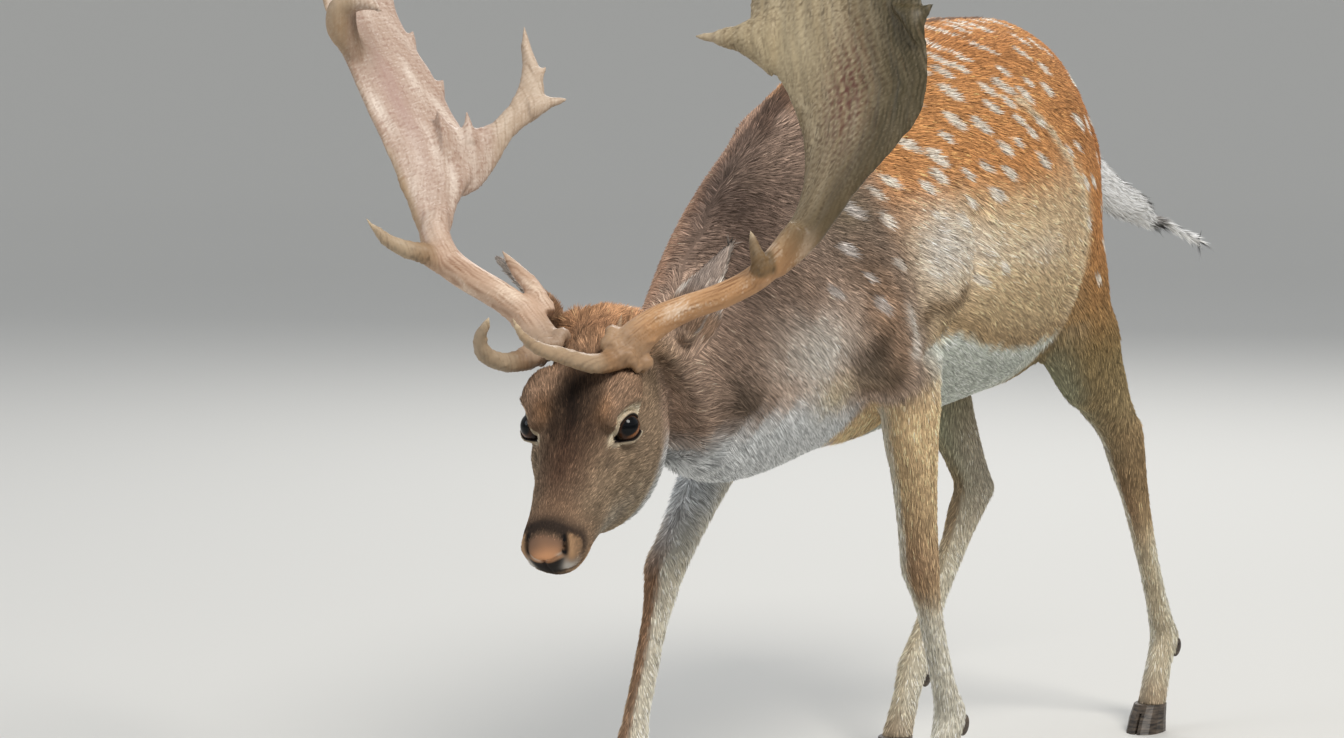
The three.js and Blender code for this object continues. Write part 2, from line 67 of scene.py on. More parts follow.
camera = bpy.data.objects.new("camera", bpy.data.cameras.new("camera"))
camera.data.sensor_width, camera.data.lens = 36.0, LENS
camera.data.clip_start, camera.data.clip_end = 0.05, 60.0
back = Vector((math.sin(AZIMUTH) * math.cos(ELEVATION), -math.cos(AZIMUTH) * math.cos(ELEVATION), math.sin(ELEVATION)))
camera.location = Vector(EYE_POINT + MOVE)
camera.rotation_mode = "QUATERNION"
camera.rotation_quaternion = (-back).to_track_quat("-Z", "Y")
bpy.context.scene.collection.objects.link(camera)
bpy.context.scene.camera = camera

# ---------------------------------------------------------------- the body's tables, in millimetres
BODY_POWER = 2.2
# Neck and trunk: back line (y, z), belly line (y, z), half width, narrowing above, narrowing below
BODY = [
    [-335, 588, -250, 448, 48, 0, 0], [-290, 611, -215, 430, 64, .1, .15], [-245, 655, -172, 421, 75, .2, .2],
    [-200, 708, -125, 419, 91, .3, .2], [-145, 762, -78, 423, 103, .4, .2], [-85, 806, -25, 430, 114, .48, .25],
    [-15, 848, 35, 436, 122, .52, .3], [60, 877, 85, 437, 137, .5, .3], [140, 896, 145, 441, 151, .38, .25],
    [220, 910, 220, 449, 162, .28, .15], [300, 921, 300, 458, 166, .2, .05], [380, 926, 380, 465, 160, .18, 0],
    [460, 926, 455, 472, 149, .22, 0], [532, 916, 522, 487, 132, .26, 0], [593, 894, 578, 512, 110, .28, 0],
    [642, 860, 625, 548, 84, .26, 0], [683, 820, 668, 588, 60, .2, 0], [716, 783, 700, 630, 37, .1, 0],
    [734, 750, 726, 680, 14, 0, 0],
]
# Tail: upper line (y, z), lower line (y, z), half width, sideways position
TAIL = [
    [700, 785, 705, 728, 22, 0], [765, 763, 750, 698, 27, 1], [841, 724, 821, 671, 28, 3], [903, 700, 875, 656, 26, 7],
    [933, 685, 902, 649, 20, 9], [953, 669, 931, 643, 13, 12], [969, 660, 960, 644, 8, 15], [998, 655, 984, 641, 8, 17],
    [1027, 643, 1013, 632, 7, 19], [1064, 631, 1050, 622, 5, 22], [1097, 620, 1091, 616, 1.5, 24],
]
# Shoulder and haunch masses: sideways position, rear edge (y, z), front edge (y, z), half width
SHOULDER = [
    [40, 90, 835, -40, 810, 18], [58, 120, 775, -80, 735, 32], [76, 132, 700, -100, 665, 42],
    [90, 140, 630, -90, 600, 43], [98, 134, 570, -45, 545, 41],
]
HAUNCH = [
    [42, 545, 855, 455, 855, 20], [61, 575, 800, 420, 780, 36], [77, 590, 720, 400, 690, 45],
    [89, 598, 645, 400, 605, 45], [95, 614, 580, 432, 540, 41],
]
# Limb stations from elbow or stifle: place along the joints, half width, depth in front, depth behind
FORE_STATIONS = [
    [0, 36, 50, 42], [.2, 31, 42, 37], [.45, 26.5, 33, 30], [.7, 24, 27, 25], [.88, 23.5, 25, 24], [1, 23.5, 25, 24],
    [1.13, 20, 20, 20], [1.28, 16, 17, 18], [1.55, 14.8, 16, 16], [1.82, 15.5, 17, 18], [2, 19.5, 20, 24],
    [2.4, 17.5, 18, 19], [3, 20, 20, 20],
]
HIND_STATIONS = [
    [0, 38, 80, 60], [.3, 31, 58, 47], [.6, 25, 42, 38], [.85, 21.5, 35, 38], [1, 22.5, 36, 42], [1.12, 21, 30, 34],
    [1.28, 17.5, 22, 25], [1.5, 15.5, 18, 18], [1.75, 15, 16, 16], [1.9, 16.5, 18, 19], [2, 19.5, 20, 24],
    [2.4, 17.5, 18, 19], [3, 20, 20, 20],
]
JOINTS = {   # elbow or stifle, knee or hock, fetlock, coffin joint
    "foreleg_left": [[104, 88, 500], [100, 122, 300], [100, 197, 118], [100, 163, 28]],
    "foreleg_right": [[-99, 45, 470], [-102, -108, 310], [-94, -196, 118], [-93, -243, 28]],
    "hindleg_left": [[97, 585, 510], [86, 708, 385], [91, 832, 118], [91, 793, 28]],
    "hindleg_right": [[-104, 540, 510], [-85, 625, 325], [-88, 468, 118], [-88, 423, 28]],
}
# Head frame: middle of the crown, and directions toward the nose, the left and the top of the skull
CROWN = np.array([-32.4, -346.3, 623.0])
TO_NOSE = np.array([.1866, -.7062, -.6829])
TO_LEFT = np.array([.972, .234, .0237])
TO_TOP = np.array([.1431, -.6682, .7301])
# Head: top line (along, up), jaw line (along, up), half width, narrowing above, narrowing below
HEAD = [
    [-35, -36, 20, -158, 46, 0, .1], [-5, -8, 52, -176, 54, 0, .1], [30, 8, 88, -188, 59, .03, .1],
    [65, 13, 118, -186, 61, .08, .12], [100, 12, 145, -175, 61, .12, .14], [135, 6, 170, -158, 58, .16, .16],
    [165, -2, 192, -141, 51, .12, .16], [195, -8, 212, -120, 44, .05, .15], [225, -11, 234, -107, 38, .05, .15],
    [255, -13, 258, -98, 35, .08, .15], [280, -15, 282, -92, 32, .12, .2], [300, -19, 299, -77, 27, .1, .2],
    [314, -30, 310, -55, 14, 0, 0],
]
BROW_AT, BROW_SIZE = (118, 41, -12), (44, 25.5, 21)
CREST_AT, CREST_SIZE = (13, 0, -24), (31, 56, 29)
EYE_AT, EYE_RADIUS = (141, 48.5, -29), 16.0
EAR_FLAT = .38
EAR_THIN = {"left": (.37, .73, -.57), "right": (-.54, -.61, -.58)}
EARS = {   # middle line (x, y, z) and half width
    "left": [[24, -292, 585, 22], [33, -275, 615, 31], [42, -257, 645, 26], [49, -238, 670, 14], [51, -222, 690, 2]],
    "right": [[-84, -361, 616, 23], [-98, -354, 620, 28], [-127, -336, 629, 30], [-158, -318, 643, 26],
              [-188, -300, 657, 14], [-206, -287, 666, 2]],
}
# Antler beams and points: middle line (x, y, z) and radius
BEAMS = {
    "left": [[21, -388, 581, 21], [35, -383, 599, 18.5], [55, -375, 615, 16], [83, -362, 629, 14], [115, -351, 641, 13.5],
             [143, -339, 657, 13.5], [164, -329, 677, 14], [186, -315, 711, 13.5]],
    "right": [[-67, -400, 578, 20.5], [-79, -400, 597, 18.5], [-97, -402, 618, 16.5], [-120, -409, 635, 15.5],
              [-150, -417, 652, 15.5], [-177, -421, 669, 16], [-195, -418, 692, 16.5], [-204, -408, 720, 15]],
}
# Palms: front edge (x, y, z), rear edge (x, y, z), thickness
PALMS = {
    "left": [
        [150, -328, 678, 172, -329, 660, 22], [161, -307, 703, 200, -315, 689, 24], [169, -287, 732, 223, -302, 725, 22],
        [165, -268, 773, 247, -290, 759, 20], [153, -259, 814, 275, -275, 794, 19], [131, -256, 854, 296, -259, 829, 18],
        [105, -256, 886, 300, -252, 870, 17], [91, -254, 927, 292, -245, 922, 16], [90, -244, 969, 281, -240, 968, 14],
        [101, -233, 1007, 261, -236, 1009, 12], [126, -220, 1041, 233, -238, 1045, 9]],
    "right": [
        [-211, -422, 694, -190, -397, 699, 22], [-222, -425, 721, -195, -379, 725, 24], [-238, -425, 752, -192, -356, 755, 22],
        [-261, -423, 794, -202, -341, 789, 20], [-284, -421, 832, -227, -340, 824, 19], [-306, -418, 870, -249, -338, 858, 18],
        [-326, -415, 906, -276, -339, 892, 17], [-346, -411, 943, -301, -338, 935, 16], [-361, -404, 980, -307, -325, 975, 14],
        [-367, -397, 1018, -318, -321, 1019, 12], [-358, -389, 1050, -332, -331, 1056, 9]],
}
TINES = {
    "left": {
        "brow": [[29, -389, 584, 15], [20, -413, 574, 12], [14, -446, 574, 10], [3, -481, 584, 8.8], [-7, -509, 593, 7.2],
                 [-14, -529, 608, 5], [-18, -541, 627, 1.2]],
        "trez": [[152, -341, 659, 11.5], [157, -347, 671, 10], [157, -356, 690, 7], [154, -363, 712, 1.2]]},
    "right": {
        "brow": [[-74, -404, 580, 15], [-81, -427, 571, 12], [-87, -455, 571, 10], [-92, -480, 581, 9], [-89, -493, 598, 7.2],
                 [-79, -498, 612, 5], [-73, -498, 623, 1.2]],
        "trez": [[-179, -423, 669, 15], [-190, -446, 679, 11.5], [-204, -471, 687, 9], [-216, -489, 701, 6], [-225, -503, 719, 1.2]],
        "bez": [[-79, -386, 615, 13], [-97, -382, 642, 10], [-118, -381, 661, 7.5], [-139, -379, 682, 1.2]],
        "back": [[-200, -354, 765, 20], [-185, -324, 798, 17], [-177, -299, 823, 14], [-173, -282, 849, 12],
                 [-176, -268, 881, 8.5], [-189, -260, 919, 1.2]],
        "back_side": [[-177, -298, 826, 12], [-155, -272, 835, 7.5], [-138, -250, 837, 1]]},
}
SPURS = {
    "left": [
        [[120, -251, 901, 16], [90, -263, 903, 11], [61, -275, 904, 6.5], [39, -282, 905, 1.2]],
        [[272, -251, 917, 12], [289, -246, 930, 6.5], [301, -243, 940, 1]],
        [[111, -236, 984, 14], [83, -237, 1021, 8], [64, -233, 1052, 1]],
        [[154, -229, 1025, 14], [138, -221, 1072, 8], [127, -213, 1104, 1]],
        [[213, -239, 1030, 14], [215, -227, 1076, 8], [215, -218, 1107, 1]],
        [[255, -242, 994, 12], [276, -231, 1024, 6.5], [292, -225, 1044, 1]]],
    "right": [
        [[-257, -345, 830, 18], [-247, -339, 845, 9.5], [-241, -335, 860, 1.2]],
        [[-294, -346, 874, 18], [-284, -340, 893, 9.5], [-279, -336, 911, 1.2]],
        [[-330, -379, 930, 12], [-321, -361, 939, 8], [-312, -345, 929, 1]],
        [[-321, -330, 1008, 13], [-310, -307, 1046, 7], [-308, -291, 1078, 1]],
        [[-343, -363, 1039, 13], [-349, -350, 1083, 7], [-358, -340, 1115, 1]],
        [[-359, -398, 1023, 12], [-382, -403, 1055, 6.5], [-398, -404, 1076, 1]]],
}

# ---------------------------------------------------------------- surfaces worked out with numpy
X_AXIS = np.array([1.0, 0, 0])


def unit(v):
    """Each row divided by its length."""
    v = np.asarray(v, float)
    return v / np.maximum(np.linalg.norm(v, axis=-1, keepdims=True), 1e-9)


def smooth_rows(rows, per):
    """Catmull-Rom: every span is the cubic through its four neighbouring rows, in `per` steps."""
    r = np.asarray(rows, float)
    ext = np.vstack([2 * r[:1] - r[1:2], r, 2 * r[-1:] - r[-2:-1]])
    f = (np.arange(per) / per)[None, :, None]
    p0, p1, p2, p3 = (ext[k:len(r) - 1 + k][:, None] for k in range(4))
    out = .5 * (2 * p1 + (p2 - p0) * f + (2 * p0 - 5 * p1 + 4 * p2 - p3) * f ** 2 + (3 * p1 - p0 - 3 * p2 + p3) * f ** 3)
    return np.vstack([out.reshape(-1, r.shape[1]), r[-1:]])


def cross_sections(top, bottom, side, half, above, below, power=2.2, around=48, inset=0.0):
    """Superellipse rings between an upper and a lower line: |a|^power + |b|^power = 1, b from bottom to top,
    a sideways times the half width, narrowed above and below by b squared, all drawn in by `inset`."""
    t = np.arange(around) * 2 * np.pi / around
    c, s, e = np.cos(t), np.sin(t), 2 / power
    a, b = np.sign(c) * np.abs(c) ** e, np.sign(s) * np.abs(s) ** e
    mid, up = (top + bottom) / 2, (top - bottom) / 2
    inset = np.broadcast_to(inset, half.shape)
    length = np.linalg.norm(up, axis=1, keepdims=True)
    up = up * np.maximum(length - inset[:, None], 2) / length
    w = np.maximum(half - inset, 1)[:, None] * a * (1 - np.where(b > 0, above[:, None], below[:, None]) * b * b)
    return mid[:, None] + w[..., None] * side + up[:, None] * b[:, None]


def rod_rings(rows, around, per, inset=0.0, flat=1.0, thin=None):
    """Rings square to a smooth path, their first direction carried along without twist: p + r (flat cos u + sin v)."""
    path = smooth_rows(rows, per)
    p, r = path[:, :3], np.maximum(path[:, 3] - inset, .4)
    t = unit(np.gradient(p, axis=0))
    first = np.array([0, 0, 1.0]) if thin is None else np.asarray(thin, float)
    if thin is None and abs(t[0, 2]) > .9:
        first = X_AXIS
    u = np.empty_like(t)
    for k in range(len(t)):                       # one step along the path, whole rings at a time
        first = unit(first - t[k] * (first @ t[k]))
        u[k] = first
    v = np.cross(t, u)
    a = np.arange(around) * 2 * np.pi / around
    ring = flat * np.cos(a)[:, None] * u[:, None] + np.sin(a)[:, None] * v[:, None]
    return p[:, None] + r[:, None, None] * ring


def plate_rings(rows, around, per, inset=0.0):
    """Lens-shaped rings between a front and a rear edge: mid + e cos + n sin, n square to the plate."""
    path = smooth_rows(rows, per)
    a, b, thick = path[:, :3], path[:, 3:6], path[:, 6:7] / 2 - inset
    mid, e = (a + b) / 2, (a - b) / 2
    e = e * (1 - inset / np.linalg.norm(e, axis=1, keepdims=True))
    n = unit(np.cross(e, np.gradient(mid, axis=0))) * np.maximum(thick, .5)
    t = np.arange(around) * 2 * np.pi / around
    return mid[:, None] + e[:, None] * np.cos(t)[:, None] + n[:, None] * np.sin(t)[:, None]


def ellipsoid_rings(centre, axes, rings=24, around=36):
    """centre + cos(h) (A cos t + B sin t) + C sin(h), for heights h from pole to pole."""
    h = np.linspace(-.495 * np.pi, .495 * np.pi, rings)[:, None, None]
    t = (np.arange(around) * 2 * np.pi / around)[None, :, None]
    a, b, c = axes
    return centre + np.cos(h) * (np.cos(t) * a + np.sin(t) * b) + np.sin(h) * c


def ring_faces(rings, around, start=0):
    """Quads between neighbouring rings and fans to a middle point at both ends."""
    i, j = np.meshgrid(np.arange(rings - 1), np.arange(around), indexing="ij")
    a, b = start + i * around + j, start + i * around + (j + 1) % around
    quads = np.stack([a, b, b + around, a + around], -1).reshape(-1, 4)
    j = np.arange(around)
    k = (j + 1) % around
    low, high = start + rings * around, start + rings * around + 1
    last = start + (rings - 1) * around
    tris = np.vstack([np.stack([k + start, j + start, np.full(around, low)], 1),
                      np.stack([j + last, k + last, np.full(around, high)], 1)])
    return quads, tris


def joined(grids):
    """All ring grids as one list of points, quads and triangles, every grid closed at its ends."""
    points, quads, tris, start = [], [], [], 0
    for g in grids:
        n, m, _ = g.shape
        q, t = ring_faces(n, m, start)
        points += [g.reshape(-1, 3), g[0].mean(0)[None], g[-1].mean(0)[None]]
        quads.append(q)
        tris.append(t)
        start += n * m + 2
    return np.vstack(points), np.vstack(quads), np.vstack(tris)


def mesh_from(name, points, quads=None, tris=None):
    """A mesh of points in millimetres of the deer's axes, moved into the model's frame in metres."""
    mesh = bpy.data.meshes.new(name)
    blocks = [f for f in (quads, tris) if f is not None and len(f)]
    loops = np.concatenate([f.reshape(-1) for f in blocks]).astype(np.int32)
    sizes = np.concatenate([np.full(len(f), f.shape[1]) for f in blocks]).astype(np.int32)
    mesh.vertices.add(len(points))
    mesh.vertices.foreach_set("co", (np.asarray(points) * .001 + MOVE).astype(np.float32).reshape(-1))
    mesh.loops.add(len(loops))
    mesh.loops.foreach_set("vertex_index", loops)
    mesh.polygons.add(len(sizes))
    mesh.polygons.foreach_set("loop_start", np.concatenate([[0], np.cumsum(sizes)[:-1]]).astype(np.int32))
    mesh.update(calc_edges=True)
    mesh.validate()
    return mesh


def shown(name, mesh, material):
    """A smooth-shaded object at the origin that rides on the body and takes the given material."""
    o = bpy.data.objects.new(name, mesh)
    bpy.context.scene.collection.objects.link(o)
    mesh.shade_smooth()
    mesh.materials.append(material)
    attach(o, "root")
    return o


def evaluated(mesh, *modifiers):
    """The mesh after modifiers, each given as (type, settings)."""
    o = bpy.data.objects.new("work", mesh)
    bpy.context.scene.collection.objects.link(o)
    for kind, settings in modifiers:
        m = o.modifiers.new(kind.lower(), kind)
        for key, value in settings.items():
            setattr(m, key, value)
    graph = bpy.context.evaluated_depsgraph_get()
    out = bpy.data.meshes.new_from_object(o.evaluated_get(graph), depsgraph=graph)
    bpy.data.objects.remove(o)
    return out


def points_of(mesh):
    """Vertices in millimetres of the deer's axes."""
    co = np.empty(len(mesh.vertices) * 3, np.float32)
    mesh.vertices.foreach_get("co", co)
    return (co.reshape(-1, 3).astype(float) - MOVE) * 1000


def put_points(mesh, points):
    """Writes the points back, in metres of the model's frame."""
    mesh.vertices.foreach_set("co", (points * .001 + MOVE).astype(np.float32).reshape(-1))
    mesh.update()


def edges_of(mesh):
    e = np.empty(len(mesh.edges) * 2, np.int32)
    mesh.edges.foreach_get("vertices", e)
    return e.reshape(-1, 2)


def normals_of(mesh):
    n = np.empty(len(mesh.vertices) * 3, np.float32)
    mesh.vertex_normals.foreach_get("vector", n)
    return n.reshape(-1, 3).astype(float)


def relaxed(points, edges, weight, rounds):
    """Each round moves a point by its weight toward the mean of its neighbours."""
    n, (i, j) = len(points), edges.T
    degree = np.maximum(np.bincount(i, minlength=n) + np.bincount(j, minlength=n), 1)[:, None]
    w = np.broadcast_to(weight, (n,))[:, None]
    for _ in range(rounds):
        near = np.stack([np.bincount(i, points[j, k], n) + np.bincount(j, points[i, k], n) for k in range(3)], 1)
        points = points + w * (near / degree - points)
    return points


def step(x, low, high):
    """Smooth step from 0 at low to 1 at high."""
    t = np.clip((x - low) / (high - low), 0, 1)
    return t * t * (3 - 2 * t)


def bump(p, centre, size):
    """exp(-d^2) of the distance from a centre, each axis over its own size."""
    return np.exp(-(((p - np.asarray(centre, float)) / np.asarray(size, float)) ** 2).sum(-1))


def near_path(p, path):
    """Distance to a path of straight lines, and how far along it (0 to 1) the nearest point is."""
    path = np.asarray(path, float)
    best, along = np.full(len(p), 1e9), np.zeros(len(p))
    for k in range(len(path) - 1):
        a, d = path[k], path[k + 1] - path[k]
        t = np.clip(((p - a) @ d) / (d @ d), 0, 1)
        r = np.linalg.norm(p - a - t[:, None] * d, axis=1)
        closer = r < best
        best, along = np.where(closer, r, best), np.where(closer, (k + t) / (len(path) - 1), along)
    return best, along


WAVES = rng.normal(size=(40, 3))
WAVES /= np.linalg.norm(WAVES, axis=1, keepdims=True)
PHASES = rng.uniform(0, 2 * np.pi, 40)


def noise(p, size, waves=10, first=0):
    """Soft noise about -1 to 1: a sum of plane waves in fixed random directions, about `size` from crest to crest."""
    k = WAVES[first:first + waves] * (2 * np.pi / size) * (.7 + .06 * np.arange(waves))[:, None]
    return np.sin(p @ k.T + PHASES[first:first + waves]).sum(1) * (1.6 / waves)


def head_axes(p):
    """Along (toward the nose), sideways (left) and up, in the head's own directions."""
    q = p - CROWN
    return np.stack([q @ TO_NOSE, q @ TO_LEFT, q @ TO_TOP], -1)


def head_point(along, side, up):
    along, side, up = (np.asarray(x, float)[..., None] for x in (along, side, up))
    return CROWN + TO_NOSE * along + TO_LEFT * side + TO_TOP * up


# ---------------------------------------------------------------- the flesh as closed forms
COAT_DEPTH = {"body": 4.0, "leg": 2.2, "head": 2.0, "tail": 6.0, "ear": 1.5}


def body_rings():
    r = smooth_rows(BODY, 4)
    z = np.zeros(len(r))
    return cross_sections(np.stack([z, r[:, 0], r[:, 1]], 1), np.stack([z, r[:, 2], r[:, 3]], 1), X_AXIS, r[:, 4],
                          r[:, 5], r[:, 6], BODY_POWER, 72, COAT_DEPTH["body"])


def tail_rings():
    r = smooth_rows(TAIL, 3)
    z = np.zeros(len(r))
    return cross_sections(np.stack([r[:, 5], r[:, 0], r[:, 1]], 1), np.stack([r[:, 5], r[:, 2], r[:, 3]], 1), X_AXIS,
                          r[:, 4] * .62 + 1, z, z, 2.1, 30, np.minimum(COAT_DEPTH["tail"], r[:, 4] * .45))


def head_rings():
    r = smooth_rows(HEAD, 5)
    z = np.zeros(len(r))
    return cross_sections(head_point(r[:, 0], z, r[:, 1]), head_point(r[:, 2], z, r[:, 3]), -TO_LEFT, r[:, 4],
                          r[:, 5], r[:, 6], 2.25, 72, COAT_DEPTH["head"])


def leg_rings(name):
    """Shoulder or haunch rows, then stations along the joints, each square to a direction that turns smoothly."""
    sign, fore = (1 if name.endswith("left") else -1), name.startswith("fore")
    rows = [[sign * x, *rest] for x, *rest in (SHOULDER if fore else HAUNCH)]
    joints = np.array(JOINTS[name], float)
    lines = unit(np.diff(joints, axis=0))
    for t, half, front, behind in (FORE_STATIONS if fore else HIND_STATIONS):
        i = min(int(t), 2)
        u = t - i
        mid = joints[i] + (joints[i + 1] - joints[i]) * u
        other, w = (lines[max(i - 1, 0)], .5 + u) if u < .5 else (lines[min(i + 1, 2)], 1.5 - u)
        d = lines[i] * w + other * (1 - w)
        rear = unit(np.array([0, -d[2], d[1]]))
        p, q = mid + rear * behind, mid - rear * front
        rows.append([mid[0], p[1], p[2], q[1], q[2], half])
    r = smooth_rows(rows, 5)
    z = np.zeros(len(r))
    deep = np.where(r[:, 2] > 500, COAT_DEPTH["body"], COAT_DEPTH["leg"])
    return cross_sections(r[:, [0, 1, 2]], r[:, [0, 3, 4]], X_AXIS, r[:, 5], z, z, 2.1, 40, deep)


def head_ellipsoid(at, size, inset):
    along, side, up = at
    return ellipsoid_rings(head_point(along, side, up), [TO_NOSE * (size[0] - inset), TO_LEFT * (size[1] - inset),
                                                         TO_TOP * (size[2] - inset)])


flesh = [body_rings(), tail_rings(), head_rings(), head_ellipsoid(CREST_AT, CREST_SIZE, COAT_DEPTH["head"])]
flesh += [leg_rings(name) for name in JOINTS]
for s in (1, -1):
    flesh.append(head_ellipsoid((BROW_AT[0], s * BROW_AT[1], BROW_AT[2]), BROW_SIZE, COAT_DEPTH["head"]))
for k in EARS:
    flesh.append(rod_rings(EARS[k], 28, 6, COAT_DEPTH["ear"], EAR_FLAT, EAR_THIN[k]))

# ---------------------------------------------------------------- relief of the face, in the head's own axes (mm)
EYE_OUT = unit([.46, .76, .46])
EYE_LONG = unit(np.array([.877, -.467, -.10]) - EYE_OUT * (np.array([.877, -.467, -.10]) @ EYE_OUT))
EYE_UP = np.cross(EYE_OUT, EYE_LONG) * -1
OPENING = (14.5, 11.0)                       # half length and half height of the gap between the lids
SIDES = (1, -1)
MOUTH = [(312, 0, -60), (309, 11, -59), (300, 20, -62), (284, 27, -66), (262, 33, -70)]
NOSTRIL = [(303, 19.5, -34), (300, 21.5, -31), (295, 22, -27), (290, 20, -24)]
PAD_RIM = [(303, 19.5, -33), (309, 13, -34), (312.5, 0, -35)]
TEAR = [(163, 45, -29), (176, 41, -33), (188, 38, -37)]


def eye_axes(h, s):
    """Place in the eye's frame: along the lids toward the nose, up, and out of the socket, for side s."""
    q = (h - np.array(EYE_AT) * (1, s, 1)) * (1, s, 1)
    return np.stack([q @ EYE_LONG, q @ EYE_UP, q @ EYE_OUT], -1)


def opening(e):
    """1 on the edge of the lids: an ellipse drawn out to a point at the front corner."""
    x, y = e[..., 0], e[..., 1]
    narrow = 1 - .45 * step(x, 4, 19)
    return np.sqrt((x / np.where(x > 0, OPENING[0] + 3.5, OPENING[0])) ** 2 + (y / (OPENING[1] * narrow)) ** 2)


def lids(h):
    """Skin round each eye: inside the opening it sinks behind the ball, at the edge it lies on the ball with a
    rounded rim, and outside it blends back to the face."""
    for s in SIDES:
        e = eye_axes(h, s)
        near = (np.hypot(e[:, 0], e[:, 1]) < 34) & (e[:, 2] > -6)
        rho = opening(e)
        r2 = e[:, 0] ** 2 + e[:, 1] ** 2
        rim = EYE_RADIUS + .7 + 2.2 * step(rho, .98, 1.3) - .9 * step(rho, 1.3, 1.5) * (1 - step(rho, 1.5, 1.8))
        over = np.sqrt(np.maximum(rim ** 2 - r2, 16))
        under = np.sqrt(np.maximum((EYE_RADIUS - 3) ** 2 - r2, 9)) - 2
        target = np.where(rho < .95, under, np.where(rho < 1.0, under + (over - under) * (rho - .95) / .05, over))
        w = (1 - step(rho, 1.25, 2.2)) * near
        shift = (target - e[:, 2]) * w
        h = h + shift[:, None] * (EYE_OUT * (1, s, 1))
    return h


def face_relief(p):
    """Adds the cheek, tear pit, nostrils, mouth line, lips and chin to points of the head."""
    h = head_axes(p)
    there = step(h[:, 0], 30, 70) * (np.linalg.norm(p - head_point(170, 0, -70), axis=1) < 190)
    out = np.zeros_like(h)
    for s in SIDES:
        m = h * (1, s, 1)
        lateral = np.zeros_like(h)
        lateral[:, 1] = s
        side = step(m[:, 1], 4, 18)
        out += lateral * (side * (5.0 * bump(m, (112, 60, -95), (40, 60, 36)) - 4.0 * bump(m, (200, 42, -72), (26, 60, 22))
                                 + 3.0 * bump(m, (165, 52, -52), (26, 60, 10)) - 3.0 * bump(m, (196, 38, -34), (18, 40, 12))
                                 + 3.5 * bump(m, (284, 30, -34), (20, 40, 18)) - 2.5 * bump(m, (250, 34, -60), (14, 40, 16))))[:, None]
        d, _ = near_path(m, TEAR)
        out += lateral * (side * (-3.2 * np.exp(-(d / 3.0) ** 2) + 1.2 * np.exp(-((d - 6) / 3.0) ** 2)))[:, None]
        d, t = near_path(m, MOUTH)
        out += lateral * (side * (-3.0 * np.exp(-(d / 1.6) ** 2) + 1.3 * np.exp(-((d - 4.5) / 2.6) ** 2)))[:, None]
        front = np.zeros_like(h)
        front[:, 0] = 1
        out += front * (-3.0 * np.exp(-(d / 1.6) ** 2) * step(m[:, 0], 296, 306))[:, None]
        d, t = near_path(m, NOSTRIL)
        hole = np.exp(-(d / (2.0 + 1.2 * np.sin(np.pi * np.clip(t, 0, 1)))) ** 2)
        out += np.array([-.9, -.7 * s, .1]) * (8.0 * hole)[:, None]
        out += np.array([.35, .8 * s, 0]) * (2.4 * bump(m, (296, 27, -36), (9, 6, 13)))[:, None]
        d, _ = near_path(m, PAD_RIM)
        out += front * (-2.0 * np.exp(-((d - 1.5) / 1.7) ** 2) * (m[:, 2] < -33) + 1.6 * bump(m, (311, 6, -32), (8, 14, 8)))[:, None]
    out[:, 0] -= 1.6 * np.exp(-(h[:, 1] / 1.5) ** 2) * step(h[:, 0], 304, 310) * step(-h[:, 2], 30, 40)
    h = h + out * there[:, None]
    return p + (h - head_axes(p)) @ np.stack([TO_NOSE, TO_LEFT, TO_TOP]), h


def ear_relief(p, normals):
    """Cups each ear: the side that its opening faces is pressed in, most in the middle, nothing at the rim."""
    for k, rows in EARS.items():
        path = smooth_rows(rows, 6)
        d, t = near_path(p, path[:, :3])
        half = np.interp(t, np.linspace(0, 1, len(path)), path[:, 3])
        i = np.clip((t * (len(path) - 1)).astype(int), 0, len(path) - 2)
        centre = path[i, :3] + (path[i + 1, :3] - path[i, :3]) * (t * (len(path) - 1) - i)[:, None]
        thin = unit(EAR_THIN[k])
        along = unit(path[-1, :3] - path[0, :3])
        q = p - centre
        wide = unit(np.cross(along, thin))
        across, out = q @ wide, q @ thin
        inside = (d < half * 1.15) & (out > 0) & (t > .03)
        room = np.maximum(2 * EAR_FLAT * (half - 1.5) - 5, 0)
        depth = room * np.clip(1 - (across / (half * .93)) ** 2, 0, 1) ** .8 * step(t, .05, .3)
        p = p - thin * (np.where(inside, depth, 0) * step(out, 0, 1.5))[:, None]
    return p


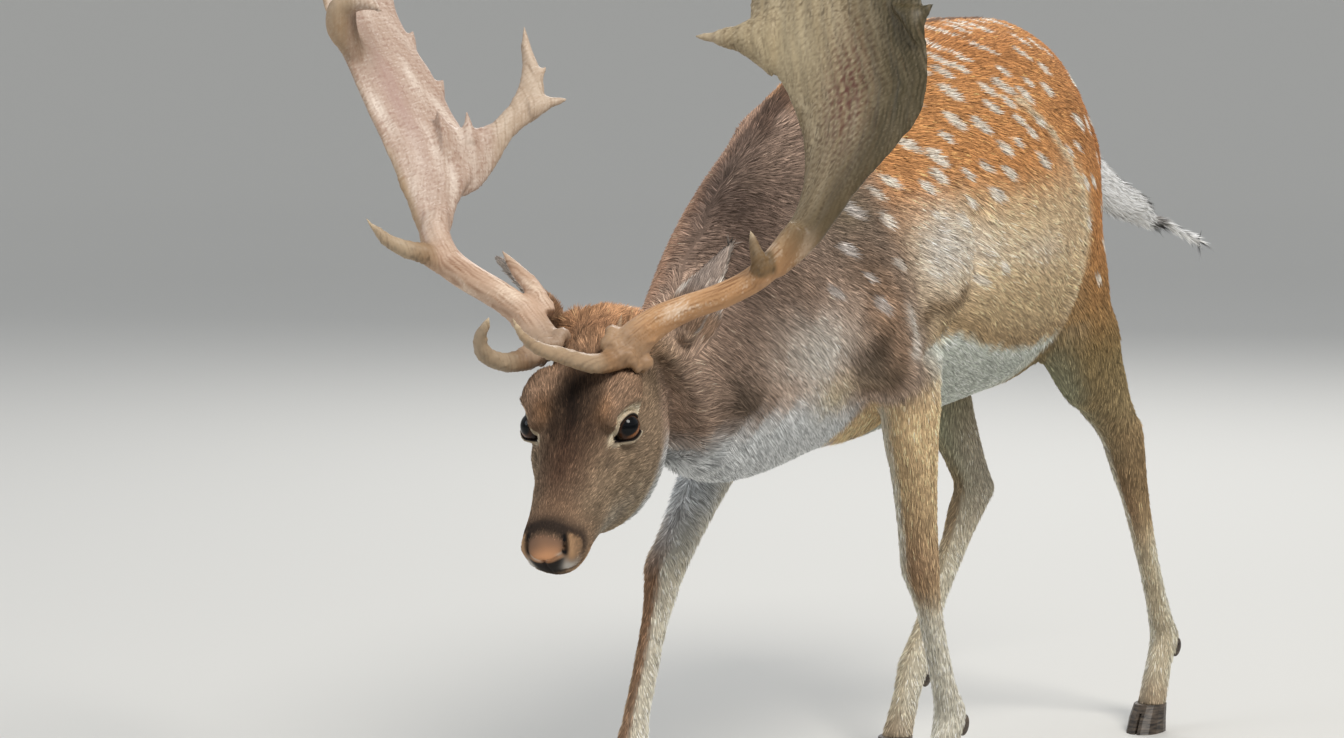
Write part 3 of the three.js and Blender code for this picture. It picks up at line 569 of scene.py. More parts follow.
# Landmarks of the flank, mirrored side to side: (y, z) in millimetres
def body_relief(p, normals):
    """Moves the trunk, neck and upper legs along their normals: blade, triceps, ribs, hip, flank hollow, folds."""
    side = np.abs(p[:, 0])
    flank = np.stack([p[:, 1], p[:, 2]], 1)
    outer = step(side, 45, 95)
    d = np.zeros(len(p))
    for centre, size, height in (((60, 690), (60, 95), 4), ((112, 590), (38, 70), 6), ((20, 600), (40, 60), 3.5),
                                 ((485, 820), (34, 30), 5), ((405, 800), (48, 45), -6), ((520, 660), (60, 85), 4),
                                 ((600, 760), (30, 40), 3), ((430, 560), (30, 40), 3), ((300, 640), (120, 70), 4),
                                 ((-60, 640), (50, 70), -3), ((150, 720), (26, 60), -3)):
        d += height * bump(flank, centre, size)
    for path, width, depth in (
            ([(165, 700), (160, 640), (150, 600), (112, 566), (60, 548)], 13, -7),      # behind the triceps
            ([(-20, 790), (-62, 700), (-88, 620), (-70, 560)], 22, -4),                 # neck against the shoulder
            ([(300, 835), (375, 786), (420, 736), (448, 683), (444, 627), (426, 563)], 16, 3.2),   # fold before the thigh
            ([(330, 800), (400, 742), (426, 683), (424, 627), (408, 572)], 16, -3.2),
            ([(560, 800), (590, 720), (596, 650), (590, 580)], 16, -3),
            ([(30, 760), (60, 680), (50, 600), (20, 560)], 18, -3)):
        r, _ = near_path(np.stack([flank[:, 0], flank[:, 1], 0 * side], 1), [(y, z, 0) for y, z in path])
        d += depth * np.exp(-(r / width) ** 2)
    ribs = np.sin((flank[:, 0] + .42 * (flank[:, 1] - 600)) * 2 * np.pi / 36)
    d += .9 * ribs * bump(flank, (270, 640), (110, 110))
    d *= outer
    d += 1.4 * noise(p, 120, 10) * step(p[:, 2], 380, 460)
    neck = bump(flank, (-210, 480), (70, 60))
    d += 2.2 * neck * np.sin((flank[:, 0] - .7 * flank[:, 1]) * 2 * np.pi / 34 + side * .03)
    return p + normals * (d * step(p[:, 2], 330, 430))[:, None]


# ---------------------------------------------------------------- the skin: one closed surface over all the flesh
VOXEL = .0026
points, quads, tris = joined(flesh)
skin_mesh = evaluated(mesh_from("flesh", points, quads, tris),
                      ("REMESH", {"mode": "VOXEL", "voxel_size": VOXEL, "use_smooth_shade": True}))
p = points_of(skin_mesh)
links = edges_of(skin_mesh)
h = head_axes(p)
ear_near = np.minimum(*[near_path(p, np.array(EARS[k])[:, :3])[0] - np.interp(
    near_path(p, np.array(EARS[k])[:, :3])[1], np.linspace(0, 1, len(EARS[k])), np.array(EARS[k])[:, 3]) for k in EARS])
in_ear = (ear_near < 3) & (h[:, 0] < 25)
on_head = step(h[:, 0], -10, 40) * (p[:, 1] < -250)
soft = np.where(in_ear, .12, .5)
p = relaxed(p, links, soft, 14)
broad = .6 * (1 - on_head) * (~in_ear) * step(p[:, 2], 430, 520) * (p[:, 1] < 690)
p = relaxed(p, links, broad, 50)
put_points(skin_mesh, p)


def refined(mesh, chosen):
    """Splits the chosen faces in four, with the faces beside them joined on."""
    o = bpy.data.objects.new("work", mesh)
    bpy.context.scene.collection.objects.link(o)
    mesh.vertices.foreach_set("select", np.zeros(len(mesh.vertices), bool))
    mesh.edges.foreach_set("select", np.zeros(len(mesh.edges), bool))
    mesh.polygons.foreach_set("select", chosen)
    for other in bpy.context.view_layer.objects:
        other.select_set(other == o)
    bpy.context.view_layer.objects.active = o
    bpy.ops.object.mode_set(mode="EDIT")
    bpy.ops.mesh.select_mode(type="FACE")
    bpy.ops.mesh.subdivide(number_cuts=1, smoothness=0)
    bpy.ops.object.mode_set(mode="OBJECT")
    bpy.data.objects.remove(o)
    return mesh


def face_centres(mesh):
    c = np.empty(len(mesh.polygons) * 3, np.float32)
    mesh.polygons.foreach_get("center", c)
    return (c.reshape(-1, 3).astype(float) - MOVE) * 1000


def fine_part(h, reach, muzzle):
    """Faces near an eye, or on the muzzle beyond a place along the head."""
    eyes = np.minimum(*[np.linalg.norm(h - np.array(EYE_AT) * (1, s, 1), axis=1) for s in SIDES])
    return (eyes < reach) | ((h[:, 0] > muzzle) & (h[:, 2] > -130) & (h[:, 2] < 20) & (np.abs(h[:, 1]) < 60))


for reach, muzzle in ((40, 238), (27, 276)):
    skin_mesh = refined(skin_mesh, fine_part(head_axes(face_centres(skin_mesh)), reach, muzzle))
p, links = points_of(skin_mesh), edges_of(skin_mesh)
fine = fine_part(head_axes(p), 46, 232)
p = relaxed(p, links, np.where(fine, .5, 0), 6)
put_points(skin_mesh, p)
p = body_relief(p, normals_of(skin_mesh))
p = ear_relief(p, None)
p, h = face_relief(p)
h2 = lids(h)
p = p + (h2 - h) @ np.stack([TO_NOSE, TO_LEFT, TO_TOP])
p = relaxed(p, links, np.where(fine, .25, .1), 2)
put_points(skin_mesh, p)


def vertex_colours(mesh, name, rgb):
    """Stores linear colours, one per vertex."""
    a = mesh.color_attributes.new(name, "FLOAT_COLOR", "POINT")
    a.data.foreach_set("color", np.hstack([rgb, np.ones((len(rgb), 1))]).astype(np.float32).reshape(-1))


def linear(rgb):
    """Screen colours 0-255 as linear light."""
    c = np.asarray(rgb, float) / 255
    return np.where(c <= .04045, c / 12.92, ((c + .055) / 1.055) ** 2.4)


def thinned(mesh, faces, guard):
    """Fewer triangles by edge collapse, spared where the guard is high."""
    o = bpy.data.objects.new("work", mesh)
    bpy.context.scene.collection.objects.link(o)
    group = o.vertex_groups.new(name="guard")
    for low in np.arange(0, 1, .25):
        rows = np.nonzero((guard >= low) & (guard < low + .25))[0]
        if len(rows):
            group.add(rows.tolist(), float(1 - low), "REPLACE")
    m = o.modifiers.new("thin", "DECIMATE")
    triangles = sum(len(f.vertices) - 2 for f in mesh.polygons)
    m.ratio, m.vertex_group, m.vertex_group_factor = min(1, faces / triangles), "guard", 1.0
    graph = bpy.context.evaluated_depsgraph_get()
    out = bpy.data.meshes.new_from_object(o.evaluated_get(graph), depsgraph=graph)
    bpy.data.objects.remove(o)
    return out


h = head_axes(p)
head_part = (h[:, 0] > -40) & (p[:, 1] < -230) & (p[:, 2] > 400)
guard = np.where(fine_part(h, 60, 180), .99, np.where(head_part, .5, 0))
skin_mesh = thinned(skin_mesh, 190000, guard)


# ---------------------------------------------------------------- materials
def material(name, roughness, colour=None, specular=.5):
    """A plain shader with its constants set straight on the sockets."""
    m = bpy.data.materials.new(name)
    m.use_nodes = True
    shader = m.node_tree.nodes["Principled BSDF"]
    shader.inputs["Roughness"].default_value = roughness
    shader.inputs["Specular IOR Level"].default_value = specular
    if colour is not None:
        shader.inputs["Base Color"].default_value = (*linear(colour), 1)
    return m


def painted(name, roughness, attribute="shade", specular=.5):
    """A shader whose colour is the vertex colours."""
    m = material(name, roughness, None, specular)
    nodes, links = m.node_tree.nodes, m.node_tree.links
    a = nodes.new("ShaderNodeAttribute")
    a.attribute_name = attribute
    links.new(a.outputs["Color"], nodes["Principled BSDF"].inputs["Base Color"])
    return m


# ---------------------------------------------------------------- markings of the coat
RUFOUS, RUMP, TAN, CREAM, WHITE = (192, 136, 86), (162, 106, 64), (212, 186, 150), (214, 206, 196), (208, 213, 202)
GREY_BROWN, NECK_BROWN, NECK_DARK, REDDISH = (150, 134, 120), (186, 158, 138), (146, 122, 109), (206, 162, 134)
LOW_TAN, ELBOW_SHADE, LEG_TAN, LEG_RED, LEG_PALE = (186, 162, 126), (52, 42, 30), (230, 198, 154), (172, 142, 112), (236, 228, 208)
# Each spot: (y, z) on the flank in millimetres
SPOTS = [
    (329, 916), (310, 909), (396, 922), (364, 911), (437, 918), (275, 906), (298, 891), (318, 884), (224, 892), (214, 874),
    (252, 878), (233, 866), (198, 862), (431, 896), (397, 881), (314, 861), (359, 849), (434, 864), (408, 840), (287, 845),
    (255, 841), (280, 828), (244, 822), (187, 839), (330, 835), (286, 808), (337, 806), (307, 792), (166, 809), (207, 803),
    (140, 790), (264, 782), (234, 777), (109, 768), (75, 782), (189, 757), (156, 750), (229, 749), (316, 760), (28, 745),
    (0, 732), (78, 738), (101, 748), (-38, 716), (5, 704), (81, 706), (155, 720), (199, 726), (130, 698), (-61, 673),
    (-40, 645), (13, 655), (-89, 632), (-28, 614), (73, 643), (168, 629), (209, 642), (471, 802), (520, 798), (412, 770),
    (447, 772), (492, 733), (453, 731), (463, 682), (521, 614), (511, 882), (477, 893), (560, 850), (556, 760), (586, 800),
    (18, 842), (60, 850), (104, 862), (150, 878), (84, 824), (120, 830), (164, 866), (40, 806), (-8, 800), (-20, 765),
    (545, 700), (560, 650),
]
BACKWARD = np.array([.88, -.47])             # the spots' long direction on the flank, down and to the rear


def paint(base, colour, amount):
    """The base colour moved toward a screen colour by an amount from 0 to 1."""
    return base + (linear(colour) - base) * np.clip(amount, 0, 1)[:, None]


def under(y, z, line, soft):
    """1 below a line of (y, z) places, 0 above it, over a border `soft` wide."""
    ys, zs = np.array(line, float).T
    return 1 - step(z - np.interp(y, ys, zs), -soft, soft)


def leg_top(y):
    """Height at which the legs' colour and hair give way to the trunk's, along the body."""
    return np.interp(y, [-130, -60, 5, 45, 80], [372, 400, 455, 535, 550])


def strip(q, path, width):
    """Soft band of a width along a path of (y, z) places."""
    d, _ = near_path(np.stack([q[:, 1], q[:, 2], 0 * q[:, 0]], 1), [(y, z, 0) for y, z in path])
    return np.exp(-(d / width) ** 2)


def coat_colour(p, n):
    """Linear colour at points with normals: patches and spots on the flank plane, bands down the legs, face marks."""
    wobble = np.stack([noise(p, 26, 8, k) for k in (0, 8, 16)], 1)
    q = p + wobble * 5
    y, z, side = q[:, 1], q[:, 2], np.abs(q[:, 0])
    sign = np.where(p[:, 0] > 0, 1, -1)
    yz = np.stack([y, z], 1)
    c = np.broadcast_to(linear(RUFOUS), p.shape).copy()
    c = paint(c, RUMP, step(y, 470, 600) * .85)
    c = paint(c, (170, 112, 66), bump(yz, (250, 890), (260, 30)) * .5)
    # flank: pale tan under the rufous, a cream patch behind the shoulder, white belly
    c = paint(c, TAN, under(y, z, [(-50, 700), (50, 700), (128, 722), (212, 722), (350, 730), (440, 735), (560, 600)], 38)
              * step(y, -20, 60) * (1 - step(y, 455, 500)))
    c = paint(c, LOW_TAN, under(y, z, [(60, 600), (220, 615), (330, 620), (430, 620)], 30) * .8 * (1 - step(y, 440, 470)))
    c = paint(c, CREAM, bump(yz, (88, 668), (52, 50)) * .85)
    c = paint(c, CREAM, bump(yz, (160, 668), (50, 26)) * .5 + bump(yz, (300, 660), (70, 18)) * .35)
    c = paint(c, (196, 168, 134), bump(yz, (385, 690), (50, 60)) * .7)
    belly = [(-60, 505), (30, 540), (80, 562), (150, 568), (240, 545), (358, 536), (430, 550), (470, 560)]
    c = paint(c, (150, 124, 92), np.exp(-((z - np.interp(y, *np.array(belly, float).T) - 12) / 14) ** 2)
              * step(y, 60, 110) * (1 - step(y, 430, 480)) * .55)
    c = paint(c, WHITE, under(y, z, belly, 7) * step(y, 52, 78) * (1 - step(y, 470, 520)))
    c = paint(c, (140, 96, 62), bump(yz, (490, 812), (50, 60)) * .6)
    # haunch, its light front line, and the paler lower thigh
    thigh = step(y - np.interp(z, [540, 563, 627, 683, 736, 786, 835, 900], [425, 426, 444, 448, 421, 374, 298, 250]), -6, 24)
    thigh *= step(z, 380, 440) * (y > 200)
    c = paint(c, (156, 118, 76), thigh * (1 - step(z, 600, 700)) * .85)
    c = paint(c, (124, 110, 76), thigh * (1 - step(z, 500, 620)) * .85)
    c = paint(c, (214, 194, 164), strip(q, [(298, 835), (374, 786), (421, 736), (448, 683), (444, 627), (426, 563)], 6)
              * step(side, 90, 115) * (.35 + .5 * step(z, 560, 760)))
    # shoulder and neck
    ahead = 1 - step(y + .42 * (z - 700), -30, 66)
    c = paint(c, GREY_BROWN, ahead)
    c = paint(c, (106, 86, 70), ahead * bump(yz, (-40, 640), (62, 72)) * .85)
    neck = 1 - step(y + .9 * (z - 640), -150, -20)
    c = paint(c, NECK_BROWN, neck * .9)
    crest = np.interp(y, [-335, -245, -200, -145, -85, -15, 60], [588, 655, 708, 762, 806, 848, 877])
    below_crest = crest - z
    c = paint(c, NECK_DARK, ahead * (1 - step(below_crest, 30, 130)) * step(y, -300, -180) * .8)
    c = paint(c, (112, 94, 82), ahead * (1 - step(below_crest, 120, 230)) * step(y, -300, -180) * .4)
    c = paint(c, REDDISH, ahead * (1 - step(q[:, 0], -30, 2)) * (1 - step(below_crest, 30, 120)) * .75)
    c = paint(c, (150, 128, 112), strip(q, [(-150, 745), (-120, 760), (-60, 800)], 9) * .45 * (q[:, 0] > 0))
    c = paint(c, (204, 200, 192), ahead * bump(yz, (-110, 565), (66, 44)) * .8)
    c = paint(c, (176, 168, 158), ahead * bump(yz, (-128, 580), (44, 30)) * .45)
    c = paint(c, (118, 98, 83), ahead * bump(yz, (-140, 634), (34, 30)) * .6)
    c = paint(c, (96, 86, 66), ahead * bump(yz, (-50, 728), (40, 34)) * .7)
    c = paint(c, (64, 54, 44), bump(yz, (-238, 520), (34, 42)) * .75 + bump(yz, (-205, 512), (30, 26)) * .4)
    c = paint(c, (168, 134, 106), bump(yz, (-24, 596), (34, 44)) * .7 + bump(yz, (6, 545), (20, 34)) * .5)
    # painted shade: a dark patch in the crease in front of the elbow
    c = paint(c, ELBOW_SHADE, bump(yz, (-28, 560), (30, 34)) * .8 + bump(yz, (2, 528), (18, 22)) * .55)
    # painted shade: a dark band along the crease behind the triceps
    c = paint(c, (92, 70, 46), strip(q, [(140, 618), (104, 603), (76, 604), (58, 590)], 13) * .75 * step(side, 60, 100))
    c = paint(c, CREAM, strip(q, [(17, 606), (30, 578), (32, 556)], 8) * .6)
    throat = [(-330, 480), (-290, 466), (-241, 480), (-190, 500), (-140, 512), (-100, 516), (-60, 508), (-20, 500), (40, 488)]
    c = paint(c, (206, 208, 208), under(y, z, throat, 24) * (1 - step(y, 10, 50)))
    c = paint(c, (196, 180, 150), bump(yz, (-60, 515), (40, 22)) * .8 * (side > 60))
    # legs: warm on the outer front, pale inside and behind, darker red at the knees, hocks and fetlocks
    top = leg_top(y)
    leg = (1 - step(z, top - np.where(y < 330, 70, 190), top)) * ((np.abs(y - 250) > 130) | (z < 430)) * (side > 30)
    fore = y < 330
    inner = step(-n[:, 0] * sign, .05, .6)
    behind = step(n[:, 1], .2, .8)
    legs = np.broadcast_to(linear(LEG_TAN), p.shape).copy()
    legs = paint(legs, (182, 156, 120), (1 - step(z, 360, 470)) * step(z, 120, 260) * .7)
    legs = paint(legs, (138, 124, 92), np.where(fore, 0, 1) * step(z, 330, 400) * .8)
    legs = paint(legs, (120, 98, 68), np.where(fore, 0, 1) * bump(z[:, None], (345,), (60,)) * .8)
    legs = paint(legs, LEG_RED, np.where(fore, bump(z[:, None], (300,), (44,)), bump(z[:, None], (360,), (80,)) * .2) * .7)
    legs = paint(legs, (150, 118, 90), step(-n[:, 1], .3, .9) * (1 - step(z, 280, 420)) * .55)
    legs = paint(legs, (200, 184, 164), (1 - step(z, 90, 250)) * .65)
    legs = paint(legs, (138, 104, 80), step(-n[:, 1], .45, .85) * step(z, 60, 120) * fore * (sign < 0) * .8)
    legs = paint(legs, (232, 226, 208), (1 - step(z, 225, 282)) * np.where(fore & (sign > 0), .9, .7 * step(n[:, 1], -.6, .0)))
    legs = paint(legs, (222, 212, 184), (1 - step(z, 220, 300)) * np.where(fore, 0, .55))
    legs = paint(legs, LEG_PALE, inner * np.where(fore, .85, .6) + behind * (1 - step(z, 260, 340)) * .6)
    legs = paint(legs, (150, 120, 92), (1 - step(z, 45, 80)) * .5)
    c = c + (legs - c) * leg[:, None]
    # painted shade: the white inside and front of the hind thighs painted grey-green, as white hair in shade
    c = paint(c, (132, 132, 104), step(-n[:, 0] * sign, -.1, .5) * bump(yz, (520, 500), (70, 120)) * .8)
    c = paint(c, (158, 158, 132), np.where(fore, 0, 1) * step(-n[:, 1], .15, .75) * bump(yz, (520, 450), (120, 130)) * .9)
    # spots
    r = np.full(len(p), 9.0)
    for k, (sy, sz) in enumerate(SPOTS):
        jitter = np.where(sign > 0, 0, 1)[:, None] * np.array([11 * math.sin(7.0 * k), 9 * math.sin(11.0 * k + 1)])
        d = np.stack([p[:, 1] - sy, p[:, 2] - sz], 1) - jitter + wobble[:, :2] * 1.6
        a, b = d @ BACKWARD, d @ np.array([.47, .88])
        size = 1 + .22 * math.sin(5.0 * k)
        squeeze = np.where(sz > 870, .62, 1)
        r = np.minimum(r, np.hypot(a / (15.0 * size), b / (7.2 * size * squeeze)))
    grey = step(-(y + .3 * (z - 700)), -30, 40)
    spot = (1 - step(r, .72, 1.08)) * step(side, 6, 22) * (z > 560)
    c = paint(c, (222, 210, 194), spot * (1 - grey) * .92)
    c = paint(c, (186, 180, 176), spot * grey * .62)
    # line along the spine, rump patch and its dark edge
    spine = (1 - step(side, 7, 17)) * step(n[:, 2], .2, .6) * step(y, -140, -60) * (y < 720)
    c = paint(c, (78, 60, 50), spine * .85)
    patch = step(n[:, 1], .62, .8) * bump(np.stack([side, z], 1), (0, 690), (52, 90)) * 2.2 * (y > 500)
    c = paint(c, (40, 32, 28), np.clip(patch * 1.6, 0, 1) * (y > 500))
    c = paint(c, WHITE, step(patch, .9, 1.25))
    # tail: dark above, white at the sides, below and at the tip
    tail = step(y, 712, 728) * (p[:, 2] > 560)
    white_tail = np.broadcast_to(linear((244, 242, 238)), p.shape).copy()
    white_tail = paint(white_tail, (46, 38, 34), step(n[:, 2], .45, .8) * (1 - step(y, 925, 950)) * .95)
    white_tail = paint(white_tail, (60, 48, 42), bump(y[:, None], (955,), (20,)) * .8)
    c = c + (white_tail - c) * tail[:, None]
    return face_colour(c, p, n, wobble)


def face_colour(c, p, n, wobble):
    """Marks of the head in its own axes, laid over the colour of the neck."""
    h = head_axes(p) + wobble * 2.5
    s, l, t = h[:, 0], np.abs(h[:, 1]), h[:, 2]
    m = np.stack([s, l, t], 1)
    near = (np.linalg.norm(p - head_point(140, 0, -70), axis=1) < 235) * (p[:, 2] < 640)
    front = step(.536 * (s - 18) + .845 * (t + 51), -22, 22) * near * step(s, -30, 0)
    f = np.broadcast_to(linear((144, 123, 101)), p.shape).copy()
    f = paint(f, (126, 100, 80), step(t, -40, -8) * .8)
    f = paint(f, (146, 128, 106), bump(m, (190, 48, -80), (50, 40, 30)) * .7)
    f = paint(f, (160, 146, 124), bump(m, (165, 45, -130), (60, 60, 32)) * .7)
    f = paint(f, (180, 146, 120), bump(m, (125, 40, 0), (34, 14, 16)) * .7 + bump(m, (100, 22, 6), (30, 12, 20)) * .4)
    f = paint(f, (26, 17, 11), np.exp(-(l / (11 + 16 * np.exp(-((s - 120) / 42) ** 2))) ** 2) * step(s, 62, 90)
              * (1 - step(s, 176, 230)) * step(t, -34, -12))
    f = paint(f, (54, 38, 27), bump(m, (170, 21, -5), (48, 14, 18)) * .85)
    f = paint(f, (178, 134, 98), bump(m, (150, 34, 2), (20, 9, 10)) * .6)
    f = paint(f, (84, 60, 46), bump(m, (215, 0, -12), (44, 22, 20)) * .85)
    f = paint(f, (178, 134, 99), bump(m, (24, 0, 0), (50, 56, 40)) * 1.1)
    f = paint(f, (96, 68, 50), bump(m, (38, 4, 4), (16, 24, 26)) * .7)
    f = paint(f, (118, 94, 74), bump(m, (96, 62, -30), (24, 24, 24)) * .4)
    f = paint(f, (186, 182, 170), step(-t, 150, 185) * .8 + bump(m, (240, 24, -96), (60, 30, 16)) * .5)
    # eye: dark rim, pale ring, dark tear line
    for k in SIDES:
        e = eye_axes(head_axes(p), k)
        close = (np.hypot(e[:, 0], e[:, 1]) < 36) & (e[:, 2] > -16)
        rho = opening(e)
        ring = np.exp(-((rho - np.where(e[:, 1] > 2, 1.5, 1.36)) / np.where(e[:, 1] > 2, .34, .2)) ** 2) * close
        amount = .62 + .5 * step(e[:, 1], 0, 12) + .5 * step(-e[:, 0] - e[:, 1] * .5, 6, 16)
        f = paint(f, (244, 226, 196), ring * np.clip(amount * 1.15, 0, 1))
        f = paint(f, (26, 20, 18), (1 - step(rho, 1.12, 1.24)) * close)
        mirrored = head_axes(p) * (1, k, 1)
        d, _ = near_path(mirrored, TEAR)
        f = paint(f, (58, 44, 36), np.exp(-(d / 3.6) ** 2) * .85)
    # muzzle: dark band over the nose, painted highlights on pad and rim, painted shadow below, pale corners, warm wing
    # by each nostril
    lt = np.stack([l, t], 1)
    f = paint(f, (152, 120, 94), step(s, 236, 262) * .4)
    f = paint(f, (58, 46, 38), np.exp(-((s - 282) / 12) ** 2) * step(t, -66, -44) * 1.1)
    f = paint(f, (84, 68, 56), bump(m, (282, 30, -46), (13, 10, 20)) * .8)
    face = step(s, 290, 297)
    f = paint(f, (112, 92, 80), face * step(t, -36, -24) * .9)
    # painted highlight: a warm orange reflection on the front of the nose pad
    f = paint(f, (232, 170, 124), face * bump(lt, (0, -32), (16, 8)) * 1.15)
    # painted shadow: the lower front of the nose and the lip below it, painted near black
    chin = face * (1 - step(t + .12 * l, -38.5, -35)) * (1 - step(l - .2 * (t + 50), 14, 19))
    f = paint(f, (25, 22, 22), chin * .97)
    # painted highlight: a pale line along the lower rim of the wet nose pad
    d, _ = near_path(m, PAD_RIM)
    f = paint(f, (236, 216, 196), face * np.exp(-(d / 1.6) ** 2) * .75)
    f = paint(f, (222, 216, 208), step(s, 284, 296) * bump(lt, (20, -52), (5.5, 9)) * 1.1)
    f = paint(f, (208, 166, 126), step(s, 280, 287) * bump(lt, (26.5, -36), (4.5, 13)) * 1.1)
    f = paint(f, (200, 164, 128), step(s, 262, 276) * bump(lt, (24, -72), (16, 9)) * .8)
    d, _ = near_path(m, MOUTH)
    f = paint(f, (40, 30, 28), np.exp(-(d / 1.8) ** 2) * .85)
    d, _ = near_path(m, NOSTRIL)
    f = paint(f, (16, 12, 12), np.exp(-(d / 4.6) ** 2) * 1.4)
    c = c + (f - c) * front[:, None]
    # ears: grey-brown outside, pale rim and lining
    for k, rows in EARS.items():
        path = np.array(rows, float)
        d, along = near_path(p, path[:, :3])
        half = np.interp(along, np.linspace(0, 1, len(path)), path[:, 3])
        on = (d < half + 4) & (along > .08) & (head_axes(p)[:, 0] < 30)
        open_side = step(n @ unit(EAR_THIN[k]), .0, .35)
        e = np.broadcast_to(linear((154, 138, 127)), p.shape).copy()
        e = paint(e, (128, 98, 72), (1 - step(along, .2, .42)) * .7)
        e = paint(e, (176, 162, 150), step(along, .6, .95) * .6)
        e = paint(e, (168, 156, 146), open_side * .8)
        e = paint(e, (206, 198, 188), np.maximum(step(d / half, .86, .98) * .7 * step(along, .25, .4), step(along, .93, 1) * .8))
        c = np.where(on[:, None], e, c)
    return c


coat = painted("fallow coat", .85, specular=.2)
vertex_colours(skin_mesh, "shade", coat_colour(points_of(skin_mesh), normals_of(skin_mesh)) * .6)
skin = shown("skin", skin_mesh, coat)
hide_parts("head", "nose_pad", "neck", "trunk", "tail", "foreleg_left", "foreleg_right", "hindleg_left",
            "hindleg_right", "ear_left", "ear_right")

# ---------------------------------------------------------------- coat of hair locks
def lie(p, n):
    """Direction the hair lies in, along the skin: back and down the body, down the limbs, up the face."""
    f = np.zeros_like(p)
    side = step(np.abs(p[:, 0]), 30, 140)
    f[:, 1] = 1
    f[:, 2] = -.12 - .42 * side
    neck = (1 - step(p[:, 1] + .5 * (p[:, 2] - 640), -120, 40))[:, None]
    f = f * (1 - neck) + np.array([0, .72, -.62]) * neck
    haunch = (step(p[:, 1], 430, 520) * (1 - step(p[:, 2], 700, 860)))[:, None]
    f = f * (1 - haunch) + np.array([0, .55, -.85]) * haunch
    top = leg_top(p[:, 1])
    low = (1 - step(p[:, 2], top - 90, top + 40)) * ((np.abs(p[:, 1] - 260) > 120) | (p[:, 2] < 430)) * (np.abs(p[:, 0]) > 30)
    low = low[:, None]
    f = f * (1 - low) + np.array([0, .12, -1]) * low
    tail = (step(p[:, 1], 700, 730) * (p[:, 2] > 560))[:, None]
    f = f * (1 - tail) + np.array([.08, .93, -.36]) * tail
    h = head_axes(p)
    on = (step(h[:, 0], 0, 40) * (np.linalg.norm(p - head_point(150, 0, -80), axis=1) < 215) * (p[:, 1] < -230))[:, None]
    face = -TO_NOSE * 1.0 - TO_TOP * (.35 * step(-h[:, 2], 20, 90))[:, None]
    face = face + TO_LEFT * (.35 * np.sign(h[:, 1]) * step(np.abs(h[:, 1]), 8, 40))[:, None]
    for s in SIDES:
        e = h - np.array(EYE_AT) * (1, s, 1)
        around = e @ np.stack([TO_NOSE, TO_LEFT, TO_TOP])
        face = face + unit(around) * (1.4 * np.exp(-(np.linalg.norm(e, axis=1) / 30) ** 2))[:, None]
    f = f * (1 - on) + face * on
    for k, rows in EARS.items():
        path = np.array(rows, float)
        d, along = near_path(p, path[:, :3])
        near = (d < np.interp(along, np.linspace(0, 1, len(path)), path[:, 3]) + 5) & (h[:, 0] < 30)
        f = np.where(near[:, None], unit(path[-1, :3] - path[1, :3]), f)
    sway = noise(p, 60, 8, 24) * .22
    f = unit(f) + np.cross(n, unit(f)) * sway[:, None]
    return unit(f - n * (f * n).sum(1, keepdims=True))


def roots(points, tris, wanted, count):
    """About `count` places on the wanted triangles, spread evenly: many random ones, thinned to one per cell."""
    a, b, c = (points[tris[wanted, k]] for k in range(3))
    area = np.linalg.norm(np.cross(b - a, c - a), axis=1) / 2
    total = area.sum()
    pick = rng.choice(len(area), int(count * 3.2), p=area / total)
    u, v = rng.random((2, len(pick)))
    u, v = np.where(u + v > 1, 1 - u, u), np.where(u + v > 1, 1 - v, v)
    places = a[pick] + (b - a)[pick] * u[:, None] + (c - a)[pick] * v[:, None]
    cell = np.floor(places / math.sqrt(total / count) / .80).astype(np.int64)
    key = (cell[:, 0] * 73856093) ^ (cell[:, 1] * 19349663) ^ (cell[:, 2] * 83492791)
    _, first = np.unique(key, return_index=True)
    first = np.sort(first)
    if len(first) > count:
        first = np.sort(rng.choice(first, count, replace=False))
    return places[first], np.nonzero(wanted)[0][pick[first]], total


